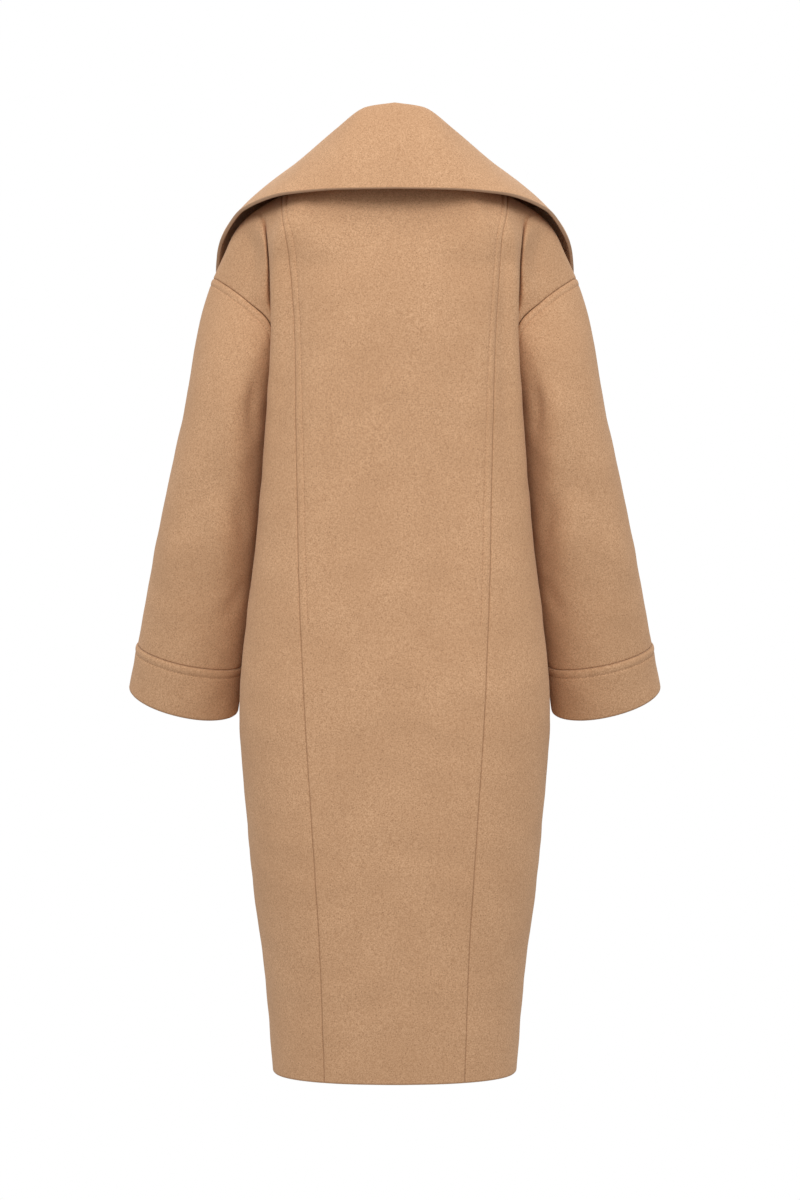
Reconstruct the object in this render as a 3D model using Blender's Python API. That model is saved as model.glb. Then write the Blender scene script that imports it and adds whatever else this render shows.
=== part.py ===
"""A camel wool coat with a wide shawl collar and a double-breasted front, as it hangs on the shoulders of
a wearer who isn't there: every piece is a thin wall, and the hollows they wrap are open and empty.

The coat's front faces -Y, the wearer's left is +X, and Z is up. The origin is the middle of the neck
hole, level with the seam at the nape.

How the cloth is worked out. A row is the line that the cloth follows round one half of the body at one
height: from the middle of the back (or front) it turns at the ridge, the corner that hangs beside the
arm, and ends at the side seam or at the armhole. The rows' sizes stand in short tables, smooth curves
join the rows from hem to shoulder, and each panel is the stretch of that surface between two seams.
The sleeves grow from the armhole's edge, and the collar from the neck's edge and the lapels' roll lines.
"""

import bpy
import numpy as np

# ---------------------------------------------------------------- sizes, in metres

CLOTH = 0.0026  # coating wool, one layer
COLLAR_CLOTH = 0.0044  # collar and lapels, two layers turned out
CUFF_CLOTH = 0.0040  # cuff bands, two layers
SEAM_GAP = 0.0003  # between pieces that are sewn together

HEM_HEIGHT = -1.163
SHOULDER_ARC = 1.25  # the height that one unit along the rows stands for, below the arms
NECK_HALF_WIDTH = 0.085
NECK_HALF_DEPTH = 0.070

LAP = 0.085  # how far each front runs past the middle
BREAK_HEIGHT = -0.450  # where the lapels begin to turn
NECK_POINT_HEIGHT = -0.010  # where the roll line meets the shoulder seam
LAP_LIFT = 0.0042  # how far the outer front stands out over the inner front
LAPEL_LIFT = 0.0120  # the same where the inner lapel lies between them
LAP_RAMP = 0.080  # the width over which the outer front rises

BUTTON_RADIUS = 0.0145
BUTTON_THICKNESS = 0.0048
BUTTON_COLUMN = 0.058  # from the middle to each column
BUTTON_ROWS = (-0.536, -0.646, -0.756)
BUTTON_SIDES = 16
BUTTON_PROFILE = ((0.93, 0.0), (1.0, 0.25), (1.0, 0.6), (0.88, 1.0), (0.74, 0.88), (0.70, 0.76))  # radius, rise

# ---------------------------------------------------------------- tables

# Rings round the body below the arms, from the hem up. back, front and half_width are the distances from
# the middle; wall is where the ridge stands from front to back, turn the cloth's heading there in degrees
# (90 runs straight to the other face) and tuck how far the side draws in.
BODY_RINGS = (  # height, back, front, half_width, wall, turn, tuck
    (-1.163, 0.149, 0.152, 0.1570, 0.030, 90, 0.000),
    (-1.050, 0.152, 0.156, 0.1660, 0.031, 90, 0.000),
    (-0.920, 0.156, 0.161, 0.1825, 0.034, 90, 0.000),
    (-0.800, 0.158, 0.163, 0.1930, 0.038, 90, 0.000),
    (-0.700, 0.158, 0.162, 0.1995, 0.042, 90, 0.000),
    (-0.600, 0.153, 0.157, 0.1915, 0.046, 91, 0.001),
    (-0.480, 0.146, 0.151, 0.1770, 0.052, 93, 0.003),
    (-0.370, 0.142, 0.148, 0.1665, 0.062, 98, 0.007),
    (-0.290, 0.142, 0.147, 0.1600, 0.070, 104, 0.010),
)

# Rows above the underarm. arc is the height along the middle line, from 0 at the hem to 1 at the top of
# the shoulders; mid, ridge and edge are points; turn and dip are the cloth's heading there, in degrees
# (turn 0 runs sideways and 90 round to the other face; dip is downwards). The columns are arc, mid_y,
# mid_z, ridge_x, ridge_y, ridge_z, ridge_turn, ridge_dip, edge_x, edge_y, edge_z, edge_turn and edge_dip.
BACK_ROWS = (
    (0.735, 0.1420, -0.242, 0.1575, 0.0750, -0.240, 98, 2, 0.1500, 0.0380, -0.262, 84, 14),
    (0.768, 0.1410, -0.201, 0.1570, 0.0790, -0.194, 100, 5, 0.1580, 0.0600, -0.209, 25, 20),
    (0.800, 0.1375, -0.161, 0.1570, 0.0840, -0.150, 96, 8, 0.1876, 0.0480, -0.177, 33, 30),
    (0.832, 0.1310, -0.121, 0.1580, 0.0840, -0.108, 78, 12, 0.2095, 0.0330, -0.159, 40, 42),
    (0.865, 0.1190, -0.080, 0.1600, 0.0700, -0.074, 52, 16, 0.2245, 0.0160, -0.148, 42, 52),
    (0.905, 0.0990, -0.034, 0.1620, 0.0480, -0.056, 30, 24, 0.2325, 0.0030, -0.142, 38, 58),
    (0.945, 0.0680, 0.002, 0.1640, 0.0260, -0.047, 14, 27, 0.2355, -0.0050, -0.1408, 25, 62),
    (1.000, 0.0000, 0.006, 0.1650, -0.0050, -0.043, 0, 28, 0.2366, -0.0100, -0.1400, 0, 64),
)
FRONT_ROWS = (
    (0.735, -0.1470, -0.242, 0.1575, -0.0780, -0.241, 96, 2, 0.1500, -0.0410, -0.262, 84, 14),
    (0.768, -0.1450, -0.201, 0.1580, -0.0880, -0.198, 97, 5, 0.1620, -0.0760, -0.213, 25, 20),
    (0.800, -0.1380, -0.163, 0.1590, -0.0900, -0.154, 84, 8, 0.1876, -0.0700, -0.182, 33, 30),
    (0.832, -0.1270, -0.126, 0.1600, -0.0870, -0.112, 66, 12, 0.2095, -0.0540, -0.162, 40, 42),
    (0.865, -0.1110, -0.090, 0.1610, -0.0720, -0.078, 46, 16, 0.2245, -0.0360, -0.150, 42, 52),
    (0.905, -0.0850, -0.050, 0.1630, -0.0520, -0.058, 28, 24, 0.2325, -0.0210, -0.1430, 38, 58),
    (0.945, -0.0560, -0.014, 0.1640, -0.0300, -0.048, 14, 27, 0.2355, -0.0140, -0.1410, 25, 62),
    (1.000, 0.0000, 0.006, 0.1650, -0.0050, -0.043, 0, 28, 0.2366, -0.0100, -0.1400, 0, 64),
)

# The back's long seams.
BACK_SEAM = (  # height, distance from the middle
    (-1.161, 0.0880), (-1.000, 0.0930), (-0.850, 0.1020), (-0.700, 0.1120), (-0.550, 0.1190),
    (-0.400, 0.1230), (-0.250, 0.1285), (-0.150, 0.1350), (-0.050, 0.1440), (0.050, 0.1500),
)

# Rings round the sleeve, along it from the armhole (0) to the end of the cuff (1). lean is how much the
# ring's outer side stands above its inner side, and pitch how much its front stands above its back.
SLEEVE_RINGS = (  # along, x, y, z, half_width, half_depth, lean, pitch
    (0.34, 0.2190, -0.006, -0.335, 0.0588, 0.0770, 17, 3),
    (0.55, 0.2380, -0.013, -0.445, 0.0640, 0.0735, 13.5, 5),
    (0.75, 0.2540, -0.026, -0.545, 0.0683, 0.0680, 12, 9),
    (0.90, 0.2690, -0.043, -0.630, 0.0704, 0.0645, 11.5, 13),
    (1.00, 0.2790, -0.058, -0.6895, 0.0722, 0.0640, 12.5, 20),
)
CAP_END = SLEEVE_RINGS[0][0]
CUFF_SEAM = 0.90
CUFF_PROUD = 0.0016  # the cuff band stands out from the sleeve
CAP_BULGE = 0.20  # how roundly the sleeve leaves the armhole
UNDERARM_CLEAR = 0.25  # and how far outwards under the arm
CUFF_SIDES = 28

# The collar where it stands free, by station: 0 at the middle of the back, 1 at the shoulder seam, 2
# where the lapel ends. crest is the top of its roll, far a point that draws the fall outwards, edge the
# outer edge, and roll how broadly the cloth turns over at the crest.
COLLAR_STATIONS = (  # station, crest_x, crest_y, crest_z, far_x, far_y, far_z, edge_x, edge_y, edge_z, roll
    (0.00, 0.000, 0.087, 0.0695, 0.000, 0.133, 0.0120, 0.000, 0.148, -0.0465, 0.020),
    (0.30, 0.034, 0.082, 0.0650, 0.052, 0.128, 0.0100, 0.064, 0.145, -0.0470, 0.020),
    (0.60, 0.064, 0.058, 0.0460, 0.103, 0.097, -0.0060, 0.136, 0.115, -0.0480, 0.018),
    (0.85, 0.084, 0.022, 0.0300, 0.156, 0.042, -0.0240, 0.196, 0.052, -0.0600, 0.014),
    (1.00, 0.087, -0.004, 0.0240, 0.199, 0.006, -0.0330, 0.2205, 0.012, -0.0860, 0.012),
    (1.05, 0.087, -0.024, 0.0190, 0.212, -0.010, -0.0370, 0.2270, -0.005, -0.0970, 0.012),
    (1.10, 0.084, -0.044, 0.0090, 0.214, -0.032, -0.0430, 0.2310, -0.022, -0.1100, 0.012),
    (1.20, 0.074, -0.083, -0.0180, 0.212, -0.104, -0.0600, 0.2345, -0.055, -0.1380, 0.012),
    (1.35, 0.047, -0.125, -0.0970, 0.165, -0.178, -0.1250, 0.2230, -0.105, -0.1900, 0.010),
    (1.50, 0.014, -0.148, -0.1790, 0.110, -0.160, -0.2100, 0.1780, -0.138, -0.2580, 0.008),
)
# Where it lies on the front: the edge as seen from the front, and how high its face lies on the panel.
LAPEL_STATIONS = (  # station, edge_x, edge_z, height
    (1.00, 0.2190, -0.086, 0.0160),
    (1.20, 0.2345, -0.138, 0.0160),
    (1.35, 0.2230, -0.190, 0.0140),
    (1.50, 0.1780, -0.258, 0.0100),
    (1.65, 0.1230, -0.335, 0.0078),
    (1.80, 0.0540, -0.400, 0.0074),
    (1.92, -0.0150, -0.440, 0.0070),
    (2.00, -0.0660, -0.458, 0.0070),
)
FREE_UNTIL, LYING_FROM = 1.12, 1.52
FOLD_RADIUS = 0.0034  # of the middle of the cloth where the lapel folds flat
FOLD_SHARE = 0.12  # of the lapel's width, given to the fold
CHEST_EDGE = 0.128  # past here the lapel leaves the panel and carries straight on
CARRY_ON = 0.5

# ---------------------------------------------------------------- curves


def smooth_curve(table):
    """A smooth function of the first column that gives the others, with no swing past the table's values."""
    table = np.asarray(table, float)
    knots, values = table[:, 0], table[:, 1:]
    step = np.diff(knots)[:, None]
    slope = np.diff(values, axis=0) / step
    tangent = np.zeros_like(values)
    tangent[0], tangent[-1] = slope[0], slope[-1]
    near, far = slope[:-1], slope[1:]
    wide, narrow = 2 * step[1:] + step[:-1], step[1:] + 2 * step[:-1]
    same_way = near * far > 0
    with np.errstate(divide="ignore", invalid="ignore"):
        tangent[1:-1] = np.where(same_way, (wide + narrow) / (wide / near + narrow / far), 0)

    def at(t):
        t = np.clip(np.asarray(t, float), knots[0], knots[-1])
        i = np.clip(np.searchsorted(knots, t) - 1, 0, len(step) - 1)
        h = step[i]
        s = (t - knots[i])[..., None] / h
        return (
            (1 + 2 * s) * (1 - s) ** 2 * values[i] + s * (1 - s) ** 2 * h * tangent[i]
            + s * s * (3 - 2 * s) * values[i + 1] + s * s * (s - 1) * h * tangent[i + 1]
        )

    return at


def bezier(p0, p1, p2, p3, t):
    t = t[..., None]
    return (1 - t) ** 3 * p0 + 3 * t * (1 - t) ** 2 * p1 + 3 * t * t * (1 - t) * p2 + t**3 * p3


def ease(low, high, t):
    """0 up to low, 1 from high on and smooth between them."""
    t = np.clip((t - low) / (high - low), 0, 1)
    return t * t * (3 - 2 * t)


def unit(v):
    return v / np.maximum(np.linalg.norm(v, axis=-1, keepdims=True), 1e-12)


def crossing(gauge, low, high):
    """Where gauge, which rises from low to high, passes 0; the nearer end if it doesn't."""
    low, high = np.array(low, float), np.array(high, float)
    for _ in range(40):
        middle = (low + high) / 2
        below = gauge(middle) < 0
        low, high = np.where(below, middle, low), np.where(below, high, middle)
    return (low + high) / 2


# ---------------------------------------------------------------- the body's surface

FULLNESS = 0.67  # how square the rows are, 0.55 being a round
FOLD_REACH = 0.45


def body_rows(side, upper):
    """The rows of the back (side 1) or front (side -1), from the hem to the top of the shoulders."""
    rows = []
    for height, back, front, half_width, wall, turn, tuck in BODY_RINGS:
        depth = back if side > 0 else front
        rows.append(((height - HEM_HEIGHT) / SHOULDER_ARC, side * depth, height,
                     half_width, side * wall, height, turn, 0, half_width - tuck, 0, height, 90, 0))
    return smooth_curve(tuple(rows) + upper)


ROWS = {1: body_rows(1, BACK_ROWS), -1: body_rows(-1, FRONT_ROWS)}
back_seam = smooth_curve(BACK_SEAM)


def heading(turn, dip, side):
    turn, dip = np.radians(turn), np.radians(dip)
    return np.stack([np.cos(turn) * np.cos(dip), -side * np.sin(turn) * np.cos(dip), -np.sin(dip)], -1)


def body_point(side, u, v):
    """A point on the cloth's face. v runs from hem to shoulder; u is 0 at the middle, 1 at the ridge and 2
    at the side seam or armhole, and below 0 the row goes on past the middle."""
    u, v = np.broadcast_arrays(np.asarray(u, float), np.asarray(v, float))
    (mid_y, mid_z, ridge_x, ridge_y, ridge_z, turn, dip, edge_x, edge_y, edge_z, edge_turn, edge_dip
     ) = np.moveaxis(ROWS[side](v), -1, 0)
    none = np.zeros_like(mid_y)
    mid, across = np.stack([none, mid_y, mid_z], -1), np.stack([ridge_x, none, none], -1)
    ridge, edge = np.stack([ridge_x, ridge_y, ridge_z], -1), np.stack([edge_x, edge_y, edge_z], -1)
    at_ridge, at_edge = heading(turn, dip, side), heading(edge_turn, edge_dip, side)
    turn = np.radians(turn)
    sweep = np.sin(turn) * np.abs(mid_y - ridge_y) + np.maximum(np.cos(turn), 0) * ridge_x
    panel = bezier(mid, mid + FULLNESS * across, ridge - FULLNESS * sweep[..., None] * at_ridge, ridge,
                   np.clip(np.abs(u), 0, 1))
    reach = FOLD_REACH * np.linalg.norm(edge - ridge, axis=-1, keepdims=True)
    flank = bezier(ridge, ridge + reach * at_ridge, edge - reach * at_edge, edge, np.clip(u - 1, 0, 1))
    point = np.where((u > 1)[..., None], flank, panel)
    point[..., 0] = np.where(u < 0, -point[..., 0], point[..., 0])
    return point


def body_out(side, u, v):
    """The cloth's outward direction there, shared by the back and the front along the shoulder seam."""
    u, v = np.broadcast_arrays(np.asarray(u, float), np.asarray(v, float))
    nudge = 1e-3
    along_u = body_point(side, np.minimum(u + nudge, 2), v) - body_point(side, u - nudge, v)
    along_v = body_point(side, u, np.minimum(v + nudge, 1)) - body_point(side, u, v - nudge)
    out = unit(np.cross(along_v, along_u)) * side
    even = unit(out * (1, 0, 1))
    return np.where((v > 0.999)[..., None], even, out)


def back_seam_u(v):
    """Where the back's long seam crosses each row."""
    return crossing(lambda u: past_back_seam(body_point(1, u, v)), np.zeros_like(v), np.ones_like(v))


def past_back_seam(point):
    return point[..., 0] - back_seam(point[..., 2])[..., 0]


def roll_line_x(height):
    """How far to its own side a front's inner edge lies: the lapel's roll line, and below it the lap."""
    share = (NECK_POINT_HEIGHT - height) / (NECK_POINT_HEIGHT - BREAK_HEIGHT)
    return NECK_HALF_WIDTH - (NECK_HALF_WIDTH + LAP) * np.clip(share, 0, 1)


def past_roll_line(point):
    return point[..., 0] - roll_line_x(point[..., 2])


def front_edge_u(v):
    """Where each row of a front begins."""
    return crossing(lambda u: past_roll_line(body_point(-1, u, v)), -np.ones_like(v), np.ones_like(v))


def neck_top_v(u):
    """Where the neck hole cuts the back off; 1, the shoulder seam, beside it."""
    def inside_neck(v):
        x, y, _ = np.moveaxis(body_point(1, u, v), -1, 0)
        return 1 - (x / NECK_HALF_WIDTH) ** 2 - (y / NECK_HALF_DEPTH) ** 2

    return crossing(inside_neck, np.full_like(u, NECK_FROM), np.ones_like(u))


def outer_lift(point):
    """How far the outer front stands out, given a point of the front it is mirrored from."""
    x, _, z = np.moveaxis(point, -1, 0)
    inner_edge = -roll_line_x(z)
    height = LAP_LIFT + (LAPEL_LIFT - LAP_LIFT) * ease(BREAK_HEIGHT - 0.065, BREAK_HEIGHT - 0.006, z)
    return height * (1 - ease(inner_edge + 0.008, inner_edge + 0.008 + LAP_RAMP, x))


def chest_y(x, z):
    """The front's face at a place seen from the front; past the chest's edge it carries straight on."""
    near = np.clip(x, -CHEST_EDGE, CHEST_EDGE)
    y, before = front_face_y(near, z), front_face_y(near - 0.004 * np.sign(near), z)
    return y + CARRY_ON * (y - before) / 0.004 * np.abs(x - near)


def front_face_y(x, z):
    u, v = x / 0.16, np.clip((z - HEM_HEIGHT) / SHOULDER_ARC, 0, 0.97)
    nudge = 1e-3
    for _ in range(12):
        here, beside, above = body_point(-1, u, v), body_point(-1, u + nudge, v), body_point(-1, u, v + nudge)
        u = np.clip(u - 0.8 * (here[..., 0] - x) * nudge / (beside - here)[..., 0], -1, 1)
        v = np.clip(v - 0.8 * (here[..., 2] - z) * nudge / (above - here)[..., 2], 0, 0.99)
    return body_point(-1, u, v)[..., 1]


def on_chest(x, z, height):
    """The point that stands the given height off the front's face, and the outward direction there."""
    step = 0.004
    slope_x = (chest_y(x + step, z) - chest_y(x - step, z)) / (2 * step)
    slope_z = (chest_y(x, z + step) - chest_y(x, z - step)) / (2 * step)
    out = unit(np.stack([slope_x, -np.ones_like(slope_x), slope_z], -1))
    return np.stack([x, chest_y(x, z), z], -1) + height[..., None] * out, out


# ---------------------------------------------------------------- solids


def surface_out(grid, round_about=False):
    """Directions at right angles to a grid of points, along its second index crossed with its first."""
    if round_about:
        padded = np.concatenate([grid[:, -1:], grid, grid[:, :1]], axis=1)
        across = padded[:, 2:] - padded[:, :-2]
    else:
        across = np.gradient(grid, axis=1)
    return unit(np.cross(across, np.gradient(grid, axis=0)))


def draw_in(faces, sides):
    """Moves the edges of a wall's two faces in by half a seam's gap. sides names the edges by letter: low
    and high rows, first and last columns."""
    faces = [face.copy() for face in faces]
    for side in sides:
        edge, inner = {
            "l": (np.s_[0], np.s_[1]), "h": (np.s_[-1], np.s_[-2]),
            "f": (np.s_[:, 0], np.s_[:, 1]), "e": (np.s_[:, -1], np.s_[:, -2]),
        }[side]
        shift = unit(faces[0][inner] - faces[0][edge]) * SEAM_GAP / 2
        for face in faces:
            face[edge] += shift
    return faces


def add_solid(name, faces, colour, round_about=False):
    """A closed wall between two grids of points that match."""
    outer, inner = faces
    rows, columns = outer.shape[:2]
    number = np.arange(rows * columns).reshape(rows, columns)
    if round_about:
        number = np.concatenate([number, number[:, :1]], axis=1)
    a, b, c, d = number[:-1, :-1], number[:-1, 1:], number[1:, 1:], number[1:, :-1]
    face = np.concatenate([np.stack([a, b, c], -1).reshape(-1, 3), np.stack([a, c, d], -1).reshape(-1, 3)])
    faces = [face, face[:, ::-1] + rows * columns]
    rims = [number[0], number[-1, ::-1]]
    if not round_about:
        rims += [number[::-1, 0], number[:, -1]]
    under = rows * columns
    for rim in rims:
        low, high = rim[:-1], rim[1:]
        faces += [np.stack([high, low, low + under], -1), np.stack([high, low + under, high + under], -1)]
    faces = np.concatenate(faces)
    points = np.concatenate([outer.reshape(-1, 3), inner.reshape(-1, 3)])
    corner = points[faces]
    if np.einsum("ij,ij->", corner[:, 0], np.cross(corner[:, 1], corner[:, 2])) < 0:
        faces = faces[:, ::-1]
    add_object(name, points, faces, colour)


def add_object(name, points, faces, colour):
    mesh = bpy.data.meshes.new(name)
    mesh.from_pydata(points.tolist(), [], faces.tolist())
    mesh.update()
    material = bpy.data.materials.new(name)
    material.use_nodes = True
    shader = material.node_tree.nodes["Principled BSDF"]
    shader.inputs["Base Color"].default_value = (*colour, 1)
    shader.inputs["Roughness"].default_value = 0.9
    mesh.materials.append(material)
    bpy.context.scene.collection.objects.link(bpy.data.objects.new(name, mesh))


def mirrored(faces):
    return [face * (-1, 1, 1) for face in faces]


# ---------------------------------------------------------------- panels

UNDERARM_V = (BODY_RINGS[-1][0] - HEM_HEIGHT) / SHOULDER_ARC
LOWER_HEIGHTS = np.array((
    HEM_HEIGHT, -1.090, -1.020, -0.950, -0.880, -0.810, -0.745, -0.685, -0.625, -0.565,
    -0.508, -0.480, BREAK_HEIGHT, -0.405, -0.362, -0.325, BODY_RINGS[-1][0],
))
LOWER_V = (LOWER_HEIGHTS - HEM_HEIGHT) / SHOULDER_ARC
UPPER_V = np.array((0.716, 0.735, 0.752, 0.768, 0.784, 0.800, 0.832, 0.865, 0.905, 0.940, 0.970, 1.0))
ROW_V = np.concatenate([LOWER_V, UPPER_V])
ARMHOLE_V = ROW_V[len(LOWER_V) - 1:]
BREAK_V = (BREAK_HEIGHT - HEM_HEIGHT) / SHOULDER_ARC
FLANK_U = (1.18, 1.4, 1.7, 2.0)
NECK_COLUMNS = 8
COLLAR_ACROSS = (0, 0.5, 1, 1.06, 1.12, 1.22, 1.34, 1.48, 1.62, 1.76, 1.88, 2.0)
NECK_FROM = 0.865  # the rows below this one run straight on under the neck hole

WOOL = (0.56, 0.33, 0.19)
HORN = (0.10, 0.055, 0.03)


def body_wall(side, u, v, lift=0.0):
    """The two faces of a panel."""
    out = body_out(side, u, v)
    face = body_point(side, u, v) + lift * out
    return face, face - CLOTH * out


def neck_end_u():
    """Where the neck hole meets the shoulder seam."""
    return crossing(lambda u: body_point(1, u, 1)[..., 0] - NECK_HALF_WIDTH, 0, 1)


def neck_columns():
    """The columns of half the back between its seams, as shares of the way to the seam, and where they
    reach the panel's top: the neck hole's edge and then the shoulder seam."""
    corner = neck_end_u() / back_seam_u(np.ones(1))[0]
    share = np.concatenate([np.linspace(0, corner, NECK_COLUMNS + 1), np.linspace(corner, 1, 4)[1:]])
    v = np.ones_like(share)
    for _ in range(20):
        u = back_seam_u(v) * share
        v = neck_top_v(u)
    return share, u, v


def back_centre_faces():
    """The panel between the back's two long seams."""
    share, _, top = neck_columns()
    share, top = np.concatenate([-share[:0:-1], share]), np.concatenate([top[:0:-1], top])
    rows = ROW_V[:, None]
    rise = np.maximum(rows - NECK_FROM, 0) / (1 - NECK_FROM)
    v = np.minimum(rows, NECK_FROM) + rise * (top - NECK_FROM)
    u = back_seam_u(v) * share
    outer, inner = body_wall(1, np.abs(u), v)
    flip = np.where(u < 0, -1, 1)
    outer[..., 0] *= flip
    inner[..., 0] *= flip
    return outer, inner


def flank_columns(start, count):
    """Columns from a seam to the ridge, and on round the flank to the side seam or armhole."""
    u = start[:, None] + (1 - start[:, None]) * np.linspace(0, 1, count)
    return np.concatenate([u, np.broadcast_to(FLANK_U, (len(start), len(FLANK_U)))], axis=1)


def add_panels():
    rows = ROW_V[:, None]
    add_solid("back_centre", draw_in(back_centre_faces(), "hfe"), WOOL)
    side = draw_in(body_wall(1, flank_columns(back_seam_u(ROW_V), 4), rows), "hfe")
    add_solid("back_side_left", side, WOOL)
    add_solid("back_side_right", mirrored(side), WOOL)
    u = flank_columns(front_edge_u(ROW_V), 13)
    add_solid("front_left", draw_in(body_wall(-1, u, rows), "hfe"), WOOL)
    lift = outer_lift(body_point(-1, u, rows))[..., None]
    add_solid("front_right", mirrored(draw_in(body_wall(-1, u, rows, lift), "hfe")), WOOL)


# ---------------------------------------------------------------- sleeves

sleeve_ring = smooth_curve(SLEEVE_RINGS)


def armhole_v(share):
    """The row at which the armhole's edge is reached, evenly along the edge from the top (0) to the
    underarm (1)."""
    v = np.linspace(1, UNDERARM_V, 200)
    back, front = body_point(1, 2.0, v), body_point(-1, 2.0, v)
    run = np.linalg.norm(np.diff(back, axis=0), axis=1) + np.linalg.norm(np.diff(front, axis=0), axis=1)
    run = np.concatenate([[0], np.cumsum(run)])
    return np.interp(share, run / run[-1], v)


def armhole_point(angle):
    """The armhole's edge, by the angle round the arm: 0 on top, a quarter turn at the back, a half turn at
    the underarm."""
    v = armhole_v(np.where(angle <= np.pi, angle, 2 * np.pi - angle) / np.pi)
    return np.where((angle <= np.pi)[..., None], body_point(1, 2.0, v), body_point(-1, 2.0, v))


def ring_point(along, angle):
    x, y, z, half_width, half_depth, lean, pitch = np.moveaxis(sleeve_ring(along), -1, 0)
    out, back = half_width * np.cos(angle), half_depth * np.sin(angle)
    lean, pitch = np.radians(lean), np.radians(pitch)
    return np.stack([
        x + out * np.cos(lean), y + back * np.cos(pitch), z + out * np.sin(lean) - back * np.sin(pitch),
    ], -1)


def sleeve_point(along, angle):
    """A point on the sleeve's face: rings below the cap, and above it curves that spring from the
    armhole's edge and run into the rings."""
    along, angle = np.broadcast_arrays(np.asarray(along, float), np.asarray(angle, float))
    end_along = np.full_like(along, CAP_END)
    start, end = armhole_point(angle), ring_point(end_along, angle)
    chord = end - start
    length = np.linalg.norm(chord, axis=-1, keepdims=True)
    outer = ease(-0.9, 0.2, np.cos(angle))[..., None]
    bulge = np.stack([np.cos(angle), np.sin(angle), 0 * angle], -1) * CAP_BULGE * outer
    set_out = unit(unit(chord) + bulge + UNDERARM_CLEAR * (1 - outer) * np.array((1, 0, 0)))
    run_in = unit(ring_point(end_along + 0.02, angle) - end)
    cap = bezier(start, start + 0.36 * length * set_out, end - 0.36 * length * run_in, end,
                 np.clip(along / CAP_END, 0, 1))
    return np.where((along < CAP_END)[..., None], cap, ring_point(np.maximum(along, CAP_END), angle))


def tube_wall(grid, thickness):
    return grid, grid + thickness * surface_out(grid, True)


def add_sleeves():
    """The sleeves, with a column at the end of every row of the panels that they meet, and their cuffs."""
    share = crossing(lambda s: armhole_v(1 - s) - ARMHOLE_V, np.zeros(len(ARMHOLE_V)), np.ones(len(ARMHOLE_V)))
    angle = np.pi * (1 - share)[::-1]
    angle = np.concatenate([angle, (2 * np.pi - angle)[-2:0:-1]])
    along = np.concatenate([np.linspace(0, CAP_END, 7), np.linspace(CAP_END, CUFF_SEAM, 8)[1:]])
    sleeve = draw_in(tube_wall(sleeve_point(along[:, None], angle), CLOTH), "lh")
    band = sleeve_point(np.linspace(CUFF_SEAM, 1, 3)[:, None], np.linspace(0, 2 * np.pi, CUFF_SIDES + 1)[:-1])
    band = draw_in(tube_wall(band - CUFF_PROUD * surface_out(band, True), CUFF_CLOTH), "l")
    add_solid("sleeve_left", sleeve, WOOL, True)
    add_solid("sleeve_right", mirrored(sleeve), WOOL, True)
    add_solid("cuff_left", band, WOOL, True)
    add_solid("cuff_right", mirrored(band), WOOL, True)


# ---------------------------------------------------------------- collar

crest_and_edge = smooth_curve(COLLAR_STATIONS)
lapel_edge = smooth_curve(LAPEL_STATIONS)


def collar_seam(station):
    """The line the collar grows from, in the middle of the cloth, and the cloth's outward direction: the
    neck hole's edge, and from the shoulder seam on the roll line."""
    u = neck_end_u() * np.minimum(station, 1)
    v, front_v = neck_top_v(u), 1 - (1 - BREAK_V) * np.clip(station - 1, 0, 1)
    front_u = front_edge_u(front_v)
    on_back = (station < 1)[..., None]
    out = np.where(on_back, body_out(1, u, v), body_out(-1, front_u, front_v))
    return np.where(on_back, body_point(1, u, v), body_point(-1, front_u, front_v)) - CLOTH / 2 * out, out


def free_collar(station, across):
    """The collar where it stands: up from its seam to the crest (across 0 to 1) and down to its edge."""
    table = crest_and_edge(station)
    crest, far, edge, roll = table[..., 0:3], table[..., 3:6], table[..., 6:9], table[..., 9:10]
    seam = collar_seam(station)[0]
    over = unit((edge - seam) * (1, 1, 0))
    stand = bezier(seam, seam + 0.35 * (crest - seam), crest - roll * over, crest, np.clip(across, 0, 1))
    fall = bezier(crest, crest + roll * over, far, edge, np.clip(across - 1, 0, 1))
    return np.where((across < 1)[..., None], stand, fall)


def lying_collar(station, across, outer_side):
    """The lapel folded flat: a small round at the roll line, and from there it lies on the front."""
    edge_x, edge_z, height = np.moveaxis(lapel_edge(station), -1, 0)
    seam = collar_seam(station)[0]
    reach_x, reach_z = edge_x - seam[..., 0], edge_z - seam[..., 2]
    length = np.hypot(reach_x, reach_z)
    quarter = np.pi / 2 * np.clip(across, 0, 1) + np.pi / 2 * np.clip((across - 1) / FOLD_SHARE, 0, 1)
    flat = np.clip((across - 1 - FOLD_SHARE) / (1 - FOLD_SHARE), 0, 1)
    distance = -FOLD_RADIUS * np.sin(quarter) + length * flat
    crest = FOLD_RADIUS * (1 - np.cos(quarter)) - CLOTH / 2
    stand_off = crest + (height - COLLAR_CLOTH / 2 - crest) * ease(0, 0.3, flat)
    x, z = seam[..., 0] + reach_x / length * distance, seam[..., 2] + reach_z / length * distance
    if outer_side:
        stand_off = stand_off + outer_lift(np.stack([x, x, z], -1))
    return on_chest(x, z, stand_off)[0]


def collar_point(station, across, outer_side=False):
    lying = ease(FREE_UNTIL, LYING_FROM, station)[..., None]
    return free_collar(station, across) * (1 - lying) + lying_collar(station, across, outer_side) * lying


def collar_half(station, across, outer_side):
    """One side's two faces. At its seam the collar takes the edge of the cloth it is sewn to."""
    middle = collar_point(station, across, outer_side)
    out = surface_out(middle)
    seam, seam_out = collar_seam(station[:, 0])
    if outer_side:
        seam = seam + seam_out * outer_lift(seam)[:, None]
    away = unit(np.cross(np.gradient(seam, axis=0), seam_out))
    middle[:, 0], out[:, 0] = seam + away * SEAM_GAP / 2, seam_out
    half = (CLOTH + (COLLAR_CLOTH - CLOTH) * ease(0, 0.8, across))[..., None] / 2
    return middle + half * out, middle - half * out


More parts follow.
